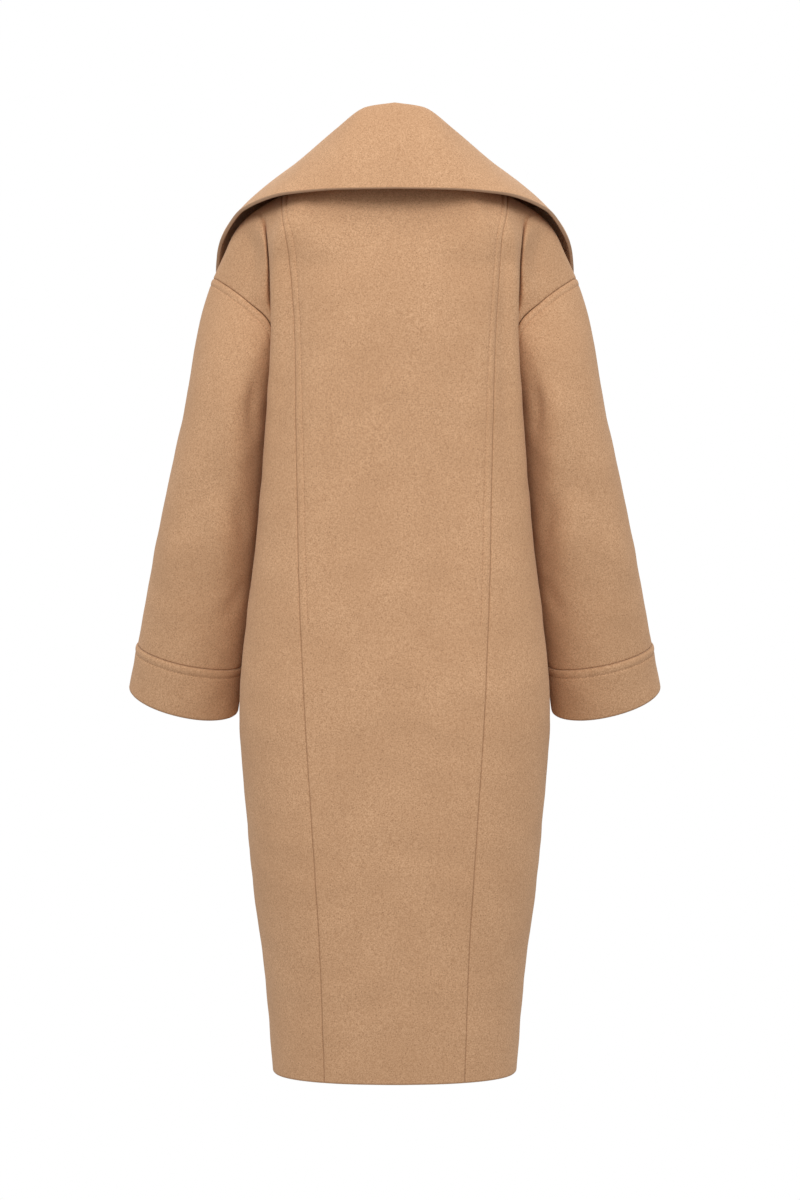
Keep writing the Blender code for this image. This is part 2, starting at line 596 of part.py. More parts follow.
def add_collar():
    """The collar, with a station at every column or row of the panels it is sewn to."""
    neck_u = neck_columns()[1][:NECK_COLUMNS] / neck_end_u()
    roll_v = ROW_V[ROW_V > BREAK_V - 1e-6][::-1]
    station = np.concatenate([neck_u, 1 + (1 - roll_v) / (1 - BREAK_V)])
    station, across = np.meshgrid(station, COLLAR_ACROSS, indexing="ij")
    left, right = collar_half(station, across, False), mirrored(collar_half(station, across, True))
    add_solid("shawl_collar", [np.concatenate([far[:0:-1], near]) for far, near in zip(right, left)], WOOL)


# ---------------------------------------------------------------- buttons


def add_buttons():
    for row, height in enumerate(BUTTON_ROWS, 1):
        for column, x in (("left", BUTTON_COLUMN), ("right", -BUTTON_COLUMN)):
            add_button(f"button_{column}_{row}", x, height)


def add_button(name, x, z):
    """A rimmed button that lies on the outer front. The outer front is worked out on the left and
    mirrored, and so is the button."""
    place = np.array((-x, 0, z))
    centre, out = on_chest(place[0], place[2], outer_lift(place) + SEAM_GAP)
    aside = unit(np.cross((0, 0, 1), out))
    up = np.cross(out, aside)
    angle = np.linspace(0, 2 * np.pi, BUTTON_SIDES + 1)[:-1]
    ring = np.cos(angle)[:, None] * aside + np.sin(angle)[:, None] * up
    rings = [centre + radius * BUTTON_RADIUS * ring + rise * BUTTON_THICKNESS * out for radius, rise in BUTTON_PROFILE]
    points = np.concatenate([*rings, [centre, centre + BUTTON_PROFILE[-1][1] * BUTTON_THICKNESS * out]])
    number = np.arange(len(rings) * BUTTON_SIDES).reshape(len(rings), BUTTON_SIDES)
    after = np.roll(number, -1, axis=1)
    a, b, c, d = number[:-1], after[:-1], after[1:], number[1:]
    bottom, top = np.full(BUTTON_SIDES, len(points) - 2), np.full(BUTTON_SIDES, len(points) - 1)
    faces = np.concatenate([
        np.stack([a, b, c], -1).reshape(-1, 3), np.stack([a, c, d], -1).reshape(-1, 3),
        np.stack([after[0], number[0], bottom], -1), np.stack([number[-1], after[-1], top], -1),
    ])
    add_object(name, points * (-1, 1, 1), faces[:, ::-1], HORN)


for thing in list(bpy.data.objects):
    bpy.data.objects.remove(thing)
add_panels()
add_sleeves()
add_collar()
add_buttons()
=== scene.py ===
"""The looks of a camel wool coat with a wide shawl collar and a double-breasted front.

Each piece of cloth is a thin closed shell on the form of its solid: its two faces are worked out as
whole grids of points, its sewn edges dip into the seam, its free edges turn over in a half round, and
its creases are soft troughs and ridges from short tables. The stitches and the buttons are meshes of
their own.
"""

import bpy
import numpy as np
from bpy.props import FloatProperty, FloatVectorProperty, PointerProperty
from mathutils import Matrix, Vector


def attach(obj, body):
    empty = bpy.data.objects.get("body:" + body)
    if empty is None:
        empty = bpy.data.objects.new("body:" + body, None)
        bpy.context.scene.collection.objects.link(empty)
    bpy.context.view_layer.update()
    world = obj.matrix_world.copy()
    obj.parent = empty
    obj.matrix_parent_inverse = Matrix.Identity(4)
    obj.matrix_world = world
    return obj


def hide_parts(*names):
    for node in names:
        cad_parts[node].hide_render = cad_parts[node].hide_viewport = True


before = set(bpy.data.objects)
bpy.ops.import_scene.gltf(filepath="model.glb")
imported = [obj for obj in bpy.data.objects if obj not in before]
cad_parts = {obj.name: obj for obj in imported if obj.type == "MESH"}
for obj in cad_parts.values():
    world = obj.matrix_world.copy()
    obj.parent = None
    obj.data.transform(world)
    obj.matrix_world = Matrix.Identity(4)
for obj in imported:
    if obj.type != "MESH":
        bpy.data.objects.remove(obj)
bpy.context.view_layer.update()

bl_info = {
    "name": "Shawl collar coat",
    "version": (1, 0, 0),
    "blender": (4, 5, 0),
    "location": "3D View > Sidebar > Coat",
    "description": "Makes the cloth, sewing and buttons of a wool coat with a shawl collar",
    "category": "Add Mesh",
}

# ---------------------------------------------------------------- sizes, in metres

CLOTH = 0.0026  # coating wool, one layer
COLLAR_CLOTH = 0.0044  # collar and lapels, two layers turned out
CUFF_CLOTH = 0.0040  # cuff bands, two layers

HEM_HEIGHT = -1.163
SHOULDER_ARC = 1.25  # the height that one unit along the rows stands for, below the arms
NECK_HALF_WIDTH = 0.085
NECK_HALF_DEPTH = 0.070

LAP = 0.085  # how far each front runs past the middle
BREAK_HEIGHT = -0.450  # where the lapels begin to turn
NECK_POINT_HEIGHT = -0.010  # where the roll line meets the shoulder seam
LAP_LIFT = 0.0042  # how far the outer front stands out over the inner front
LAPEL_LIFT = 0.0120  # the same where the inner lapel lies between them
LAP_RAMP = 0.080  # the width over which the outer front rises
RAMP_PAST_EDGE = 0.008  # from the inner front's edge to where that ramp begins
LIFT_BELOW_BREAK = (0.065, 0.006)  # below the break: where the lap's lift begins to grow, and ends

BUTTON_RADIUS = 0.0145
BUTTON_THICKNESS = 0.0048
BUTTON_COLUMN = 0.058  # from the middle to each column
BUTTON_ROWS = (-0.536, -0.646, -0.756)
BUTTON_GAP = 0.0003  # between the button and the outer front

# ---------------------------------------------------------------- tables of the form

# Rings round the body below the arms, from the hem up: height, back, front, half width, wall (where the
# ridge stands from front to back), turn (the cloth's heading there in degrees) and tuck of the side.
BODY_RINGS = (
    (-1.163, 0.149, 0.152, 0.1570, 0.030, 90, 0.000),
    (-1.050, 0.152, 0.156, 0.1660, 0.031, 90, 0.000),
    (-0.920, 0.156, 0.161, 0.1825, 0.034, 90, 0.000),
    (-0.800, 0.158, 0.163, 0.1930, 0.038, 90, 0.000),
    (-0.700, 0.158, 0.162, 0.1995, 0.042, 90, 0.000),
    (-0.600, 0.153, 0.157, 0.1915, 0.046, 91, 0.001),
    (-0.480, 0.146, 0.151, 0.1770, 0.052, 93, 0.003),
    (-0.370, 0.142, 0.148, 0.1665, 0.062, 98, 0.007),
    (-0.290, 0.142, 0.147, 0.1600, 0.070, 104, 0.010),
)

# Rows above the underarm: arc (0 at the hem to 1 on the shoulders), the middle's y and z, the ridge's
# place, turn and dip, and the edge's place, turn and dip.
BACK_ROWS = (
    (0.735, 0.1420, -0.242, 0.1575, 0.0750, -0.240, 98, 2, 0.1500, 0.0380, -0.262, 84, 14),
    (0.768, 0.1410, -0.201, 0.1570, 0.0790, -0.194, 100, 5, 0.1580, 0.0600, -0.209, 25, 20),
    (0.800, 0.1375, -0.161, 0.1570, 0.0840, -0.150, 96, 8, 0.1876, 0.0480, -0.177, 33, 30),
    (0.832, 0.1310, -0.121, 0.1580, 0.0840, -0.108, 78, 12, 0.2095, 0.0330, -0.159, 40, 42),
    (0.865, 0.1190, -0.080, 0.1600, 0.0700, -0.074, 52, 16, 0.2245, 0.0160, -0.148, 42, 52),
    (0.905, 0.0990, -0.034, 0.1620, 0.0480, -0.056, 30, 24, 0.2325, 0.0030, -0.142, 38, 58),
    (0.945, 0.0680, 0.002, 0.1640, 0.0260, -0.047, 14, 27, 0.2355, -0.0050, -0.1408, 25, 62),
    (1.000, 0.0000, 0.006, 0.1650, -0.0050, -0.043, 0, 28, 0.2366, -0.0100, -0.1400, 0, 64),
)
FRONT_ROWS = (
    (0.735, -0.1470, -0.242, 0.1575, -0.0780, -0.241, 96, 2, 0.1500, -0.0410, -0.262, 84, 14),
    (0.768, -0.1450, -0.201, 0.1580, -0.0880, -0.198, 97, 5, 0.1620, -0.0760, -0.213, 25, 20),
    (0.800, -0.1380, -0.163, 0.1590, -0.0900, -0.154, 84, 8, 0.1876, -0.0700, -0.182, 33, 30),
    (0.832, -0.1270, -0.126, 0.1600, -0.0870, -0.112, 66, 12, 0.2095, -0.0540, -0.162, 40, 42),
    (0.865, -0.1110, -0.090, 0.1610, -0.0720, -0.078, 46, 16, 0.2245, -0.0360, -0.150, 42, 52),
    (0.905, -0.0850, -0.050, 0.1630, -0.0520, -0.058, 28, 24, 0.2325, -0.0210, -0.1430, 38, 58),
    (0.945, -0.0560, -0.014, 0.1640, -0.0300, -0.048, 14, 27, 0.2355, -0.0140, -0.1410, 25, 62),
    (1.000, 0.0000, 0.006, 0.1650, -0.0050, -0.043, 0, 28, 0.2366, -0.0100, -0.1400, 0, 64),
)

# The back's long seams: height and distance from the middle.
BACK_SEAM = (
    (-1.161, 0.0880), (-1.000, 0.0930), (-0.850, 0.1020), (-0.700, 0.1120), (-0.550, 0.1190),
    (-0.400, 0.1230), (-0.250, 0.1285), (-0.150, 0.1350), (-0.050, 0.1440), (0.050, 0.1500),
)

# Rings round the sleeve: along (0 at the armhole, 1 at the cuff's end), the middle's x, y and z, half
# width, half depth, lean (outer side above inner side) and pitch (front above back), in degrees.
SLEEVE_RINGS = (
    (0.34, 0.2190, -0.006, -0.335, 0.0588, 0.0770, 17, 3),
    (0.55, 0.2380, -0.013, -0.445, 0.0640, 0.0735, 13.5, 5),
    (0.75, 0.2540, -0.026, -0.545, 0.0683, 0.0680, 12, 9),
    (0.90, 0.2690, -0.043, -0.630, 0.0704, 0.0645, 11.5, 13),
    (1.00, 0.2790, -0.058, -0.6895, 0.0722, 0.0640, 12.5, 20),
)
CAP_END = SLEEVE_RINGS[0][0]
CAP_BULGE = 0.20  # how strongly the cap's outer side springs out of the armhole
UNDERARM_CLEAR = 0.25  # the same for its inner side, sideways away from the body
CAP_REACH = 0.36  # how far the cap's cubics are drawn out, as a share of their length
CUFF_SEAM = 0.90
CUFF_PROUD = 0.0016  # how far the cuff band stands out over the sleeve
SLEEVE_UNIT = 0.60  # metres along the sleeve for one unit
SLEEVE_RADIUS = 0.068

# The collar where it stands free: station (0 at the back's middle, 1 at the shoulder seam, 2 at the
# lapel's end), the crest of its roll, a point that draws the fall outwards, its edge, and the roll's
# breadth.
COLLAR_STATIONS = (
    (0.00, 0.000, 0.087, 0.0695, 0.000, 0.133, 0.0120, 0.000, 0.148, -0.0465, 0.020),
    (0.30, 0.034, 0.082, 0.0650, 0.052, 0.128, 0.0100, 0.064, 0.145, -0.0470, 0.020),
    (0.60, 0.064, 0.058, 0.0460, 0.103, 0.097, -0.0060, 0.136, 0.115, -0.0480, 0.018),
    (0.85, 0.084, 0.022, 0.0300, 0.156, 0.042, -0.0240, 0.196, 0.052, -0.0600, 0.014),
    (1.00, 0.087, -0.004, 0.0240, 0.199, 0.006, -0.0330, 0.2205, 0.012, -0.0860, 0.012),
    (1.05, 0.087, -0.024, 0.0190, 0.212, -0.010, -0.0370, 0.2270, -0.005, -0.0970, 0.012),
    (1.10, 0.084, -0.044, 0.0090, 0.214, -0.032, -0.0430, 0.2310, -0.022, -0.1100, 0.012),
    (1.20, 0.074, -0.083, -0.0180, 0.212, -0.104, -0.0600, 0.2345, -0.055, -0.1380, 0.012),
    (1.35, 0.047, -0.125, -0.0970, 0.165, -0.178, -0.1250, 0.2230, -0.105, -0.1900, 0.010),
    (1.50, 0.014, -0.148, -0.1790, 0.110, -0.160, -0.2100, 0.1780, -0.138, -0.2580, 0.008),
)
# Where it lies on the front: station, the edge's x and z, and how high its face lies on the panel.
LAPEL_STATIONS = (
    (1.00, 0.2190, -0.086, 0.0160),
    (1.20, 0.2345, -0.138, 0.0160),
    (1.35, 0.2230, -0.190, 0.0140),
    (1.50, 0.1780, -0.258, 0.0100),
    (1.65, 0.1230, -0.335, 0.0078),
    (1.80, 0.0540, -0.400, 0.0074),
    (1.92, -0.0150, -0.440, 0.0070),
    (2.00, -0.0660, -0.458, 0.0070),
)
FREE_UNTIL, LYING_FROM = 1.12, 1.52  # the stations between which the free form turns into the lying one
STAND_REACH = 0.35  # how far the stand's cubic is drawn out of its seam, as a share of its length
FOLD_RADIUS = 0.0034  # of the lapel's half round at the roll line
FOLD_SHARE = 0.12  # the part of the way across the fall that the second half of that round takes
CHEST_EDGE = 0.128  # how far from the middle the lapel follows the chest
CARRY_ON = 0.5  # the share of the chest's last slope at which it carries on past that
FULLNESS = 0.67  # how far a row's cubic is drawn out from its middle and its ridge
FOLD_REACH = 0.45  # how far it is drawn out from there to the edge, as a share of its chord
NECK_FROM = 0.865  # the row above which the back's rows rise to the neck hole's edge
ROW_UNIT = 0.16  # roughly the metres across the cloth for one unit of u

UNDERARM_V = (BODY_RINGS[-1][0] - HEM_HEIGHT) / SHOULDER_ARC
BREAK_V = (BREAK_HEIGHT - HEM_HEIGHT) / SHOULDER_ARC

# ---------------------------------------------------------------- tables of the looks

STEP = 0.005  # between the lines of a cloth's grid
# distances of the lines next to a sewn edge and next to an edge that turns over
SEWN = np.array((
    0, 0.0005, 0.0011, 0.0021, 0.0042, 0.0066, 0.0085, 0.0094, 0.0100, 0.0106, 0.0116, 0.0140,
))
TURNED = np.array((0, 0.0030, 0.0055, 0.0095))
STITCH_LINE = 0.0100  # from the seam to its row of topstitching
PUFF = 0.0007  # how far the cloth swells between the two
SEAM_WIDTH, DIP_WIDTH = 0.0009, 0.0010  # of the bell curves in the seam and under the stitches
NAP = 0.00016  # the height of each wave of the cloth's unevenness
STITCHED_FROM = -0.590  # the height down to which the back's long seams are topstitched
STITCHED_TO = 0.972  # the row up to which they are, under the collar
PATH_POINTS = 300  # on the line that a row of topstitching follows
HALF_ROUND = 5  # points between the two faces of a free edge
ARM_COLUMNS = 96  # points round a sleeve
FOLD_ZONE = 0.48  # the part of the way from ridge to side seam that the fold beside the arm takes

# Creases on the body: side (1 back, -1 front), half (1 left, -1 right, 0 both), place across and along
# the cloth as u and v, slant in degrees from upright, half width, half length and height.
BODY_CREASES = (
    (1, 1, 0.59, 0.775, -2, 0.024, 0.27, -0.0092),
    (1, -1, 0.65, 0.755, 3, 0.021, 0.31, -0.0080),
    (1, 1, 0.24, 0.620, -3, 0.026, 0.36, 0.0034),
    (1, -1, 0.22, 0.590, 3, 0.022, 0.30, -0.0036),
    (1, 1, 0.40, 0.230, 2, 0.030, 0.26, 0.0034),
    (1, -1, 0.34, 0.260, -2, 0.028, 0.30, 0.0030),
    (1, 0, 1.28, 0.420, 6, 0.018, 0.20, -0.0022),
    (1, 0, 1.55, 0.300, 4, 0.022, 0.22, 0.0020),
    (1, 1, 1.30, 0.140, -3, 0.020, 0.14, -0.0016),
    (-1, 0, 1.25, 0.500, -8, 0.018, 0.18, -0.0034),
    (-1, 1, 0.86, 0.370, 5, 0.024, 0.28, 0.0044),
    (-1, -1, 0.84, 0.290, 4, 0.026, 0.24, 0.0038),
    (-1, 0, 1.50, 0.250, 3, 0.022, 0.20, 0.0020),
    (-1, 1, 1.04, 0.180, -4, 0.020, 0.16, -0.0040),
    (-1, -1, 1.08, 0.150, -3, 0.022, 0.14, -0.0032),
)

# The fold that hangs beside each arm, for the back (1) and the front (-1): v, where its line lies across
# the cloth (u), how deep its slot is, how wide, and how far the cloth outside it stands out.
ARM_FOLD = {
    1: ((0.750, 1.50, 0.0, 0.0024, 0.0), (0.778, 1.45, 0.0140, 0.0024, 0.0),
        (0.800, 1.28, 0.0180, 0.0024, 0.0040), (0.820, 1.15, 0.0140, 0.0025, 0.0078),
        (0.842, 1.08, 0.0100, 0.0032, 0.0085), (0.862, 1.06, 0.0060, 0.0046, 0.0072),
        (0.882, 1.07, 0.0030, 0.0064, 0.0048), (0.908, 1.10, 0.0010, 0.0080, 0.0022),
        (0.940, 1.16, 0.0, 0.0100, 0.0)),
    -1: ((0.755, 1.14, 0.0, 0.0040, 0.0), (0.790, 1.14, 0.0060, 0.0040, 0.0),
         (0.820, 1.08, 0.0085, 0.0045, 0.0030), (0.860, 1.06, 0.0060, 0.0060, 0.0040),
         (0.905, 1.09, 0.0026, 0.0085, 0.0020), (0.950, 1.20, 0.0, 0.0100, 0.0)),
}
# Its section, in metres outwards from its line: the edge's ridge and how it leans over the slot, each
# with place, width and share of the depth, the slot's place, and where the cloth outside rises and falls.
EDGE_AT, EDGE_WIDTH, EDGE_SHARE = -0.007, 0.005, 0.16
LEAN_AT, LEAN_WIDTH, LEAN_SHARE = -0.004, 0.003, 0.08
SLOT_AT, OUTSIDE_RISES, OUTSIDE_FALLS = 0.0005, (0.001, 0.007), (0.010, 0.045)

# Creases on the left sleeve, mirrored on the right: along, angle in degrees (90 back, 180 underarm),
# slant from the sleeve's length, half width, half length and height.
SLEEVE_CREASES = (
    (0.24, 122, 10, 0.011, 0.085, -0.0042),
    (0.37, 106, 10, 0.020, 0.130, 0.0056),
    (0.30, 66, -12, 0.024, 0.120, -0.0026),
    (0.54, 74, -18, 0.024, 0.100, -0.0050),
    (0.55, 132, 24, 0.012, 0.060, -0.0040),
    (0.60, 108, 16, 0.016, 0.080, 0.0034),
    (0.66, 52, -14, 0.018, 0.070, 0.0026),
    (0.74, 88, 14, 0.022, 0.080, -0.0028),
    (0.74, 136, -20, 0.012, 0.050, -0.0030),
    (0.28, 245, -18, 0.014, 0.080, -0.0036),
    (0.42, 268, 10, 0.020, 0.100, 0.0030),
    (0.50, 228, -30, 0.013, 0.065, -0.0040),
    (0.57, 252, -24, 0.017, 0.070, 0.0034),
    (0.70, 284, 16, 0.020, 0.080, -0.0028),
    (0.74, 222, 20, 0.012, 0.050, -0.0030),
)

SIDES = (("left", 1), ("right", -1))  # the coat's halves: name, and which side of the middle

# ---------------------------------------------------------------- curves


def smooth_curve(table):
    """A function of the table's first column that gives the others: cubic pieces whose slope at each row
    is the weighted harmonic mean of the slopes on its two sides, so it never swings past the values."""
    table = np.asarray(table, float)
    knots, values = table[:, 0], table[:, 1:]
    step = np.diff(knots)[:, None]
    slope = np.diff(values, axis=0) / step
    tangent = np.zeros_like(values)
    tangent[0], tangent[-1] = slope[0], slope[-1]
    near, far = slope[:-1], slope[1:]
    wide, narrow = 2 * step[1:] + step[:-1], step[1:] + 2 * step[:-1]
    with np.errstate(divide="ignore", invalid="ignore"):
        tangent[1:-1] = np.where(near * far > 0, (wide + narrow) / (wide / near + narrow / far), 0)

    def at(t):
        t = np.clip(np.asarray(t, float), knots[0], knots[-1])
        i = np.clip(np.searchsorted(knots, t) - 1, 0, len(step) - 1)
        h = step[i]
        s = (t - knots[i])[..., None] / h
        return (
            (1 + 2 * s) * (1 - s) ** 2 * values[i] + s * (1 - s) ** 2 * h * tangent[i]
            + s * s * (3 - 2 * s) * values[i + 1] + s * s * (s - 1) * h * tangent[i + 1]
        )

    return at


def bezier(p0, p1, p2, p3, t):
    """The cubic from p0 to p3 that p1 and p2 draw towards them."""
    t = t[..., None]
    return (1 - t) ** 3 * p0 + 3 * t * (1 - t) ** 2 * p1 + 3 * t * t * (1 - t) * p2 + t**3 * p3


def ease(low, high, t):
    """0 up to low, 1 from high on, and between them 3t squared less 2t cubed."""
    t = np.clip((t - low) / (high - low), 0, 1)
    return t * t * (3 - 2 * t)


def bell(distance, width):
    """A bell curve: 1 at no distance, and a little over a third at the width."""
    return np.exp(-((distance / width) ** 2))


def full_turn(count):
    """Angles that share out a full turn evenly."""
    return np.linspace(0, 2 * np.pi, count + 1)[:-1]


def unit(v):
    """v divided by its length."""
    return v / np.maximum(np.linalg.norm(v, axis=-1, keepdims=True), 1e-12)


def crossing(gauge, low, high):
    """Where gauge, which rises from low to high, passes 0, by halving the range; else the nearer end."""
    low, high = np.array(low, float), np.array(high, float)
    for _ in range(36):
        middle = (low + high) / 2
        below = gauge(middle) < 0
        low, high = np.where(below, middle, low), np.where(below, high, middle)
    return (low + high) / 2


# ---------------------------------------------------------------- the body's surface


def body_rows(side, upper):
    """The rows of the back (side 1) or front (side -1): rings below the arms, and rows above them."""
    rows = []
    for height, back, front, half_width, wall, turn, tuck in BODY_RINGS:
        depth = back if side > 0 else front
        rows.append(((height - HEM_HEIGHT) / SHOULDER_ARC, side * depth, height,
                     half_width, side * wall, height, turn, 0, half_width - tuck, 0, height, 90, 0))
    return smooth_curve(tuple(rows) + upper)


ROWS = {1: body_rows(1, BACK_ROWS), -1: body_rows(-1, FRONT_ROWS)}
back_seam = smooth_curve(BACK_SEAM)


def heading(turn, dip, side):
    """The direction turned from +X towards the other face by turn, and down by dip."""
    turn, dip = np.radians(turn), np.radians(dip)
    return np.stack([np.cos(turn) * np.cos(dip), -side * np.sin(turn) * np.cos(dip), -np.sin(dip)], -1)


def body_point(side, u, v):
    """A point on the cloth's face. Each row v is one cubic from the middle (u 0) to the ridge (u 1) and
    one from there to the side seam or armhole (u 2), and below 0 it mirrors past the middle."""
    u, v = np.broadcast_arrays(np.asarray(u, float), np.asarray(v, float))
    (mid_y, mid_z, ridge_x, ridge_y, ridge_z, turn, dip, edge_x, edge_y, edge_z, edge_turn, edge_dip
     ) = np.moveaxis(ROWS[side](v), -1, 0)
    none = np.zeros_like(mid_y)
    mid, across = np.stack([none, mid_y, mid_z], -1), np.stack([ridge_x, none, none], -1)
    ridge, edge = np.stack([ridge_x, ridge_y, ridge_z], -1), np.stack([edge_x, edge_y, edge_z], -1)
    at_ridge, at_edge = heading(turn, dip, side), heading(edge_turn, edge_dip, side)
    turn = np.radians(turn)
    sweep = np.sin(turn) * np.abs(mid_y - ridge_y) + np.maximum(np.cos(turn), 0) * ridge_x
    panel = bezier(mid, mid + FULLNESS * across, ridge - FULLNESS * sweep[..., None] * at_ridge, ridge,
                   np.clip(np.abs(u), 0, 1))
    reach = FOLD_REACH * np.linalg.norm(edge - ridge, axis=-1, keepdims=True)
    flank = bezier(ridge, ridge + reach * at_ridge, edge - reach * at_edge, edge, np.clip(u - 1, 0, 1))
    point = np.where((u > 1)[..., None], flank, panel)
    point[..., 0] = np.where(u < 0, -point[..., 0], point[..., 0])
    return point


def body_out(side, u, v):
    """The cloth's outward direction, its two slopes' cross product, level along the shoulder seam."""
    u, v = np.broadcast_arrays(np.asarray(u, float), np.asarray(v, float))
    nudge = 1e-3
    along_u = body_point(side, np.minimum(u + nudge, 2), v) - body_point(side, u - nudge, v)
    along_v = body_point(side, u, np.minimum(v + nudge, 1)) - body_point(side, u, v - nudge)
    out = unit(np.cross(along_v, along_u)) * side
    even = unit(out * (1, 0, 1))
    return np.where((v > 0.999)[..., None], even, out)


def back_seam_u(v):
    """Where the back's long seam crosses each row."""
    def past(u):
        point = body_point(1, u, v)
        return point[..., 0] - back_seam(point[..., 2])[..., 0]

    return crossing(past, np.zeros_like(v), np.ones_like(v))


def roll_line_x(height):
    """How far to its own side a front's inner edge lies: straight from the neck to the break, and from
    there down at the lap's edge."""
    share = (NECK_POINT_HEIGHT - height) / (NECK_POINT_HEIGHT - BREAK_HEIGHT)
    return NECK_HALF_WIDTH - (NECK_HALF_WIDTH + LAP) * np.clip(share, 0, 1)


def front_edge_u(v):
    """Where each row of a front begins."""
    def past(u):
        point = body_point(-1, u, v)
        return point[..., 0] - roll_line_x(point[..., 2])

    return crossing(past, -np.ones_like(v), np.ones_like(v))


def neck_top_v(u):
    """Where the neck hole, an ellipse seen from above, cuts the back off; 1 beside it."""
    def inside_neck(v):
        x, y, _ = np.moveaxis(body_point(1, u, v), -1, 0)
        return 1 - (x / NECK_HALF_WIDTH) ** 2 - (y / NECK_HALF_DEPTH) ** 2

    return crossing(inside_neck, np.full_like(u, NECK_FROM), np.ones_like(u))


def outer_lift(point):
    """How far the outer front stands out: a height at its edge that eases to nothing over the ramp."""
    x, _, z = np.moveaxis(point, -1, 0)
    low, high = (BREAK_HEIGHT - drop for drop in LIFT_BELOW_BREAK)
    height = LAP_LIFT + (LAPEL_LIFT - LAP_LIFT) * ease(low, high, z)
    ramp = RAMP_PAST_EDGE - roll_line_x(z)
    return height * (1 - ease(ramp, ramp + LAP_RAMP, x))


def front_face_y(x, z):
    """The front's face at x and z, by stepping u and v along their slopes until the point is there."""
    u, v = x / ROW_UNIT, np.clip((z - HEM_HEIGHT) / SHOULDER_ARC, 0, 0.97)
    nudge = 1e-3
    for _ in range(12):
        here = body_point(-1, u, v)
        beside, above = body_point(-1, u + nudge, v), body_point(-1, u, v + nudge)
        u = np.clip(u - 0.8 * (here[..., 0] - x) * nudge / (beside - here)[..., 0], -1, 1)
        v = np.clip(v - 0.8 * (here[..., 2] - z) * nudge / (above - here)[..., 2], 0, 0.99)
    return body_point(-1, u, v)[..., 1]


def chest_y(x, z):
    """The same, and past the chest's edge it carries straight on at a share of its last slope."""
    near = np.clip(x, -CHEST_EDGE, CHEST_EDGE)
    step = 0.004
    y, before = front_face_y(near, z), front_face_y(near - step * np.sign(near), z)
    return y + CARRY_ON * (y - before) / step * np.abs(x - near)


def on_chest(x, z, height):
    """The point that stands the given height off the front's face, and the outward direction there."""
    step = 0.004
    slope_x = (chest_y(x + step, z) - chest_y(x - step, z)) / (2 * step)
    slope_z = (chest_y(x, z + step) - chest_y(x, z - step)) / (2 * step)
    out = unit(np.stack([slope_x, -np.ones_like(slope_x), slope_z], -1))
    return np.stack([x, chest_y(x, z), z], -1) + height[..., None] * out, out


# ---------------------------------------------------------------- the sleeve's surface

sleeve_ring = smooth_curve(SLEEVE_RINGS)


def armhole_point(angle):
    """The armhole's edge by the angle round the arm: 0 on top, a quarter turn at the back, a half turn at
    the underarm, evenly along the edge."""
    v = np.linspace(1, UNDERARM_V, 200)
    run = sum(np.linalg.norm(np.diff(body_point(side, 2.0, v), axis=0), axis=1) for side in (1, -1))
    run = np.concatenate([[0], np.cumsum(run)])
    at_back = angle <= np.pi
    v = np.interp(np.where(at_back, angle, 2 * np.pi - angle) / np.pi, run / run[-1], v)
    return np.where(at_back[..., None], body_point(1, 2.0, v), body_point(-1, 2.0, v))


def ring_point(along, angle):
    """A tilted ellipse round the sleeve's middle."""
    x, y, z, half_width, half_depth, lean, pitch = np.moveaxis(sleeve_ring(along), -1, 0)
    out, back = half_width * np.cos(angle), half_depth * np.sin(angle)
    lean, pitch = np.radians(lean), np.radians(pitch)
    return np.stack([
        x + out * np.cos(lean), y + back * np.cos(pitch), z + out * np.sin(lean) - back * np.sin(pitch),
    ], -1)


def sleeve_point(along, angle):
    """Rings below the cap, and above it cubics that spring from the armhole's edge into the rings."""
    along, angle = np.broadcast_arrays(np.asarray(along, float), np.asarray(angle, float))
    end_along = np.full_like(along, CAP_END)
    start, end = armhole_point(angle), ring_point(end_along, angle)
    chord = end - start
    length = np.linalg.norm(chord, axis=-1, keepdims=True)
    outer = ease(-0.9, 0.2, np.cos(angle))[..., None]
    bulge = np.stack([np.cos(angle), np.sin(angle), 0 * angle], -1) * CAP_BULGE * outer
    set_out = unit(unit(chord) + bulge + UNDERARM_CLEAR * (1 - outer) * np.array((1, 0, 0)))
    run_in = unit(ring_point(end_along + 0.02, angle) - end)
    cap = bezier(start, start + CAP_REACH * length * set_out, end - CAP_REACH * length * run_in, end,
                 np.clip(along / CAP_END, 0, 1))
    return np.where((along < CAP_END)[..., None], cap, ring_point(np.maximum(along, CAP_END), angle))


# ---------------------------------------------------------------- the collar's surface

crest_and_edge = smooth_curve(COLLAR_STATIONS)
lapel_edge = smooth_curve(LAPEL_STATIONS)


def neck_end_u():
    """Where the neck hole meets the shoulder seam."""
    return crossing(lambda u: body_point(1, u, 1)[..., 0] - NECK_HALF_WIDTH, 0, 1)


def collar_seam(station):
    """The line the collar grows from, in the middle of the cloth, and the cloth's outward direction: the
    neck hole's edge up to station 1, and then the roll line."""
    u = neck_end_u() * np.minimum(station, 1)
    v, front_v = neck_top_v(u), 1 - (1 - BREAK_V) * np.clip(station - 1, 0, 1)
    front_u = front_edge_u(front_v)
    on_back = (station < 1)[..., None]
    out = np.where(on_back, body_out(1, u, v), body_out(-1, front_u, front_v))
    return np.where(on_back, body_point(1, u, v), body_point(-1, front_u, front_v)) - CLOTH / 2 * out, out


def free_collar(station, across, seam):
    """One cubic up from the seam to the crest (across 0 to 1), and one down to the edge (1 to 2)."""
    table = crest_and_edge(station)
    crest, far, edge, roll = table[..., 0:3], table[..., 3:6], table[..., 6:9], table[..., 9:10]
    over = unit((edge - seam) * (1, 1, 0))
    stand = bezier(seam, seam + STAND_REACH * (crest - seam), crest - roll * over, crest,
                   np.clip(across, 0, 1))
    fall = bezier(crest, crest + roll * over, far, edge, np.clip(across - 1, 0, 1))
    return np.where((across < 1)[..., None], stand, fall)


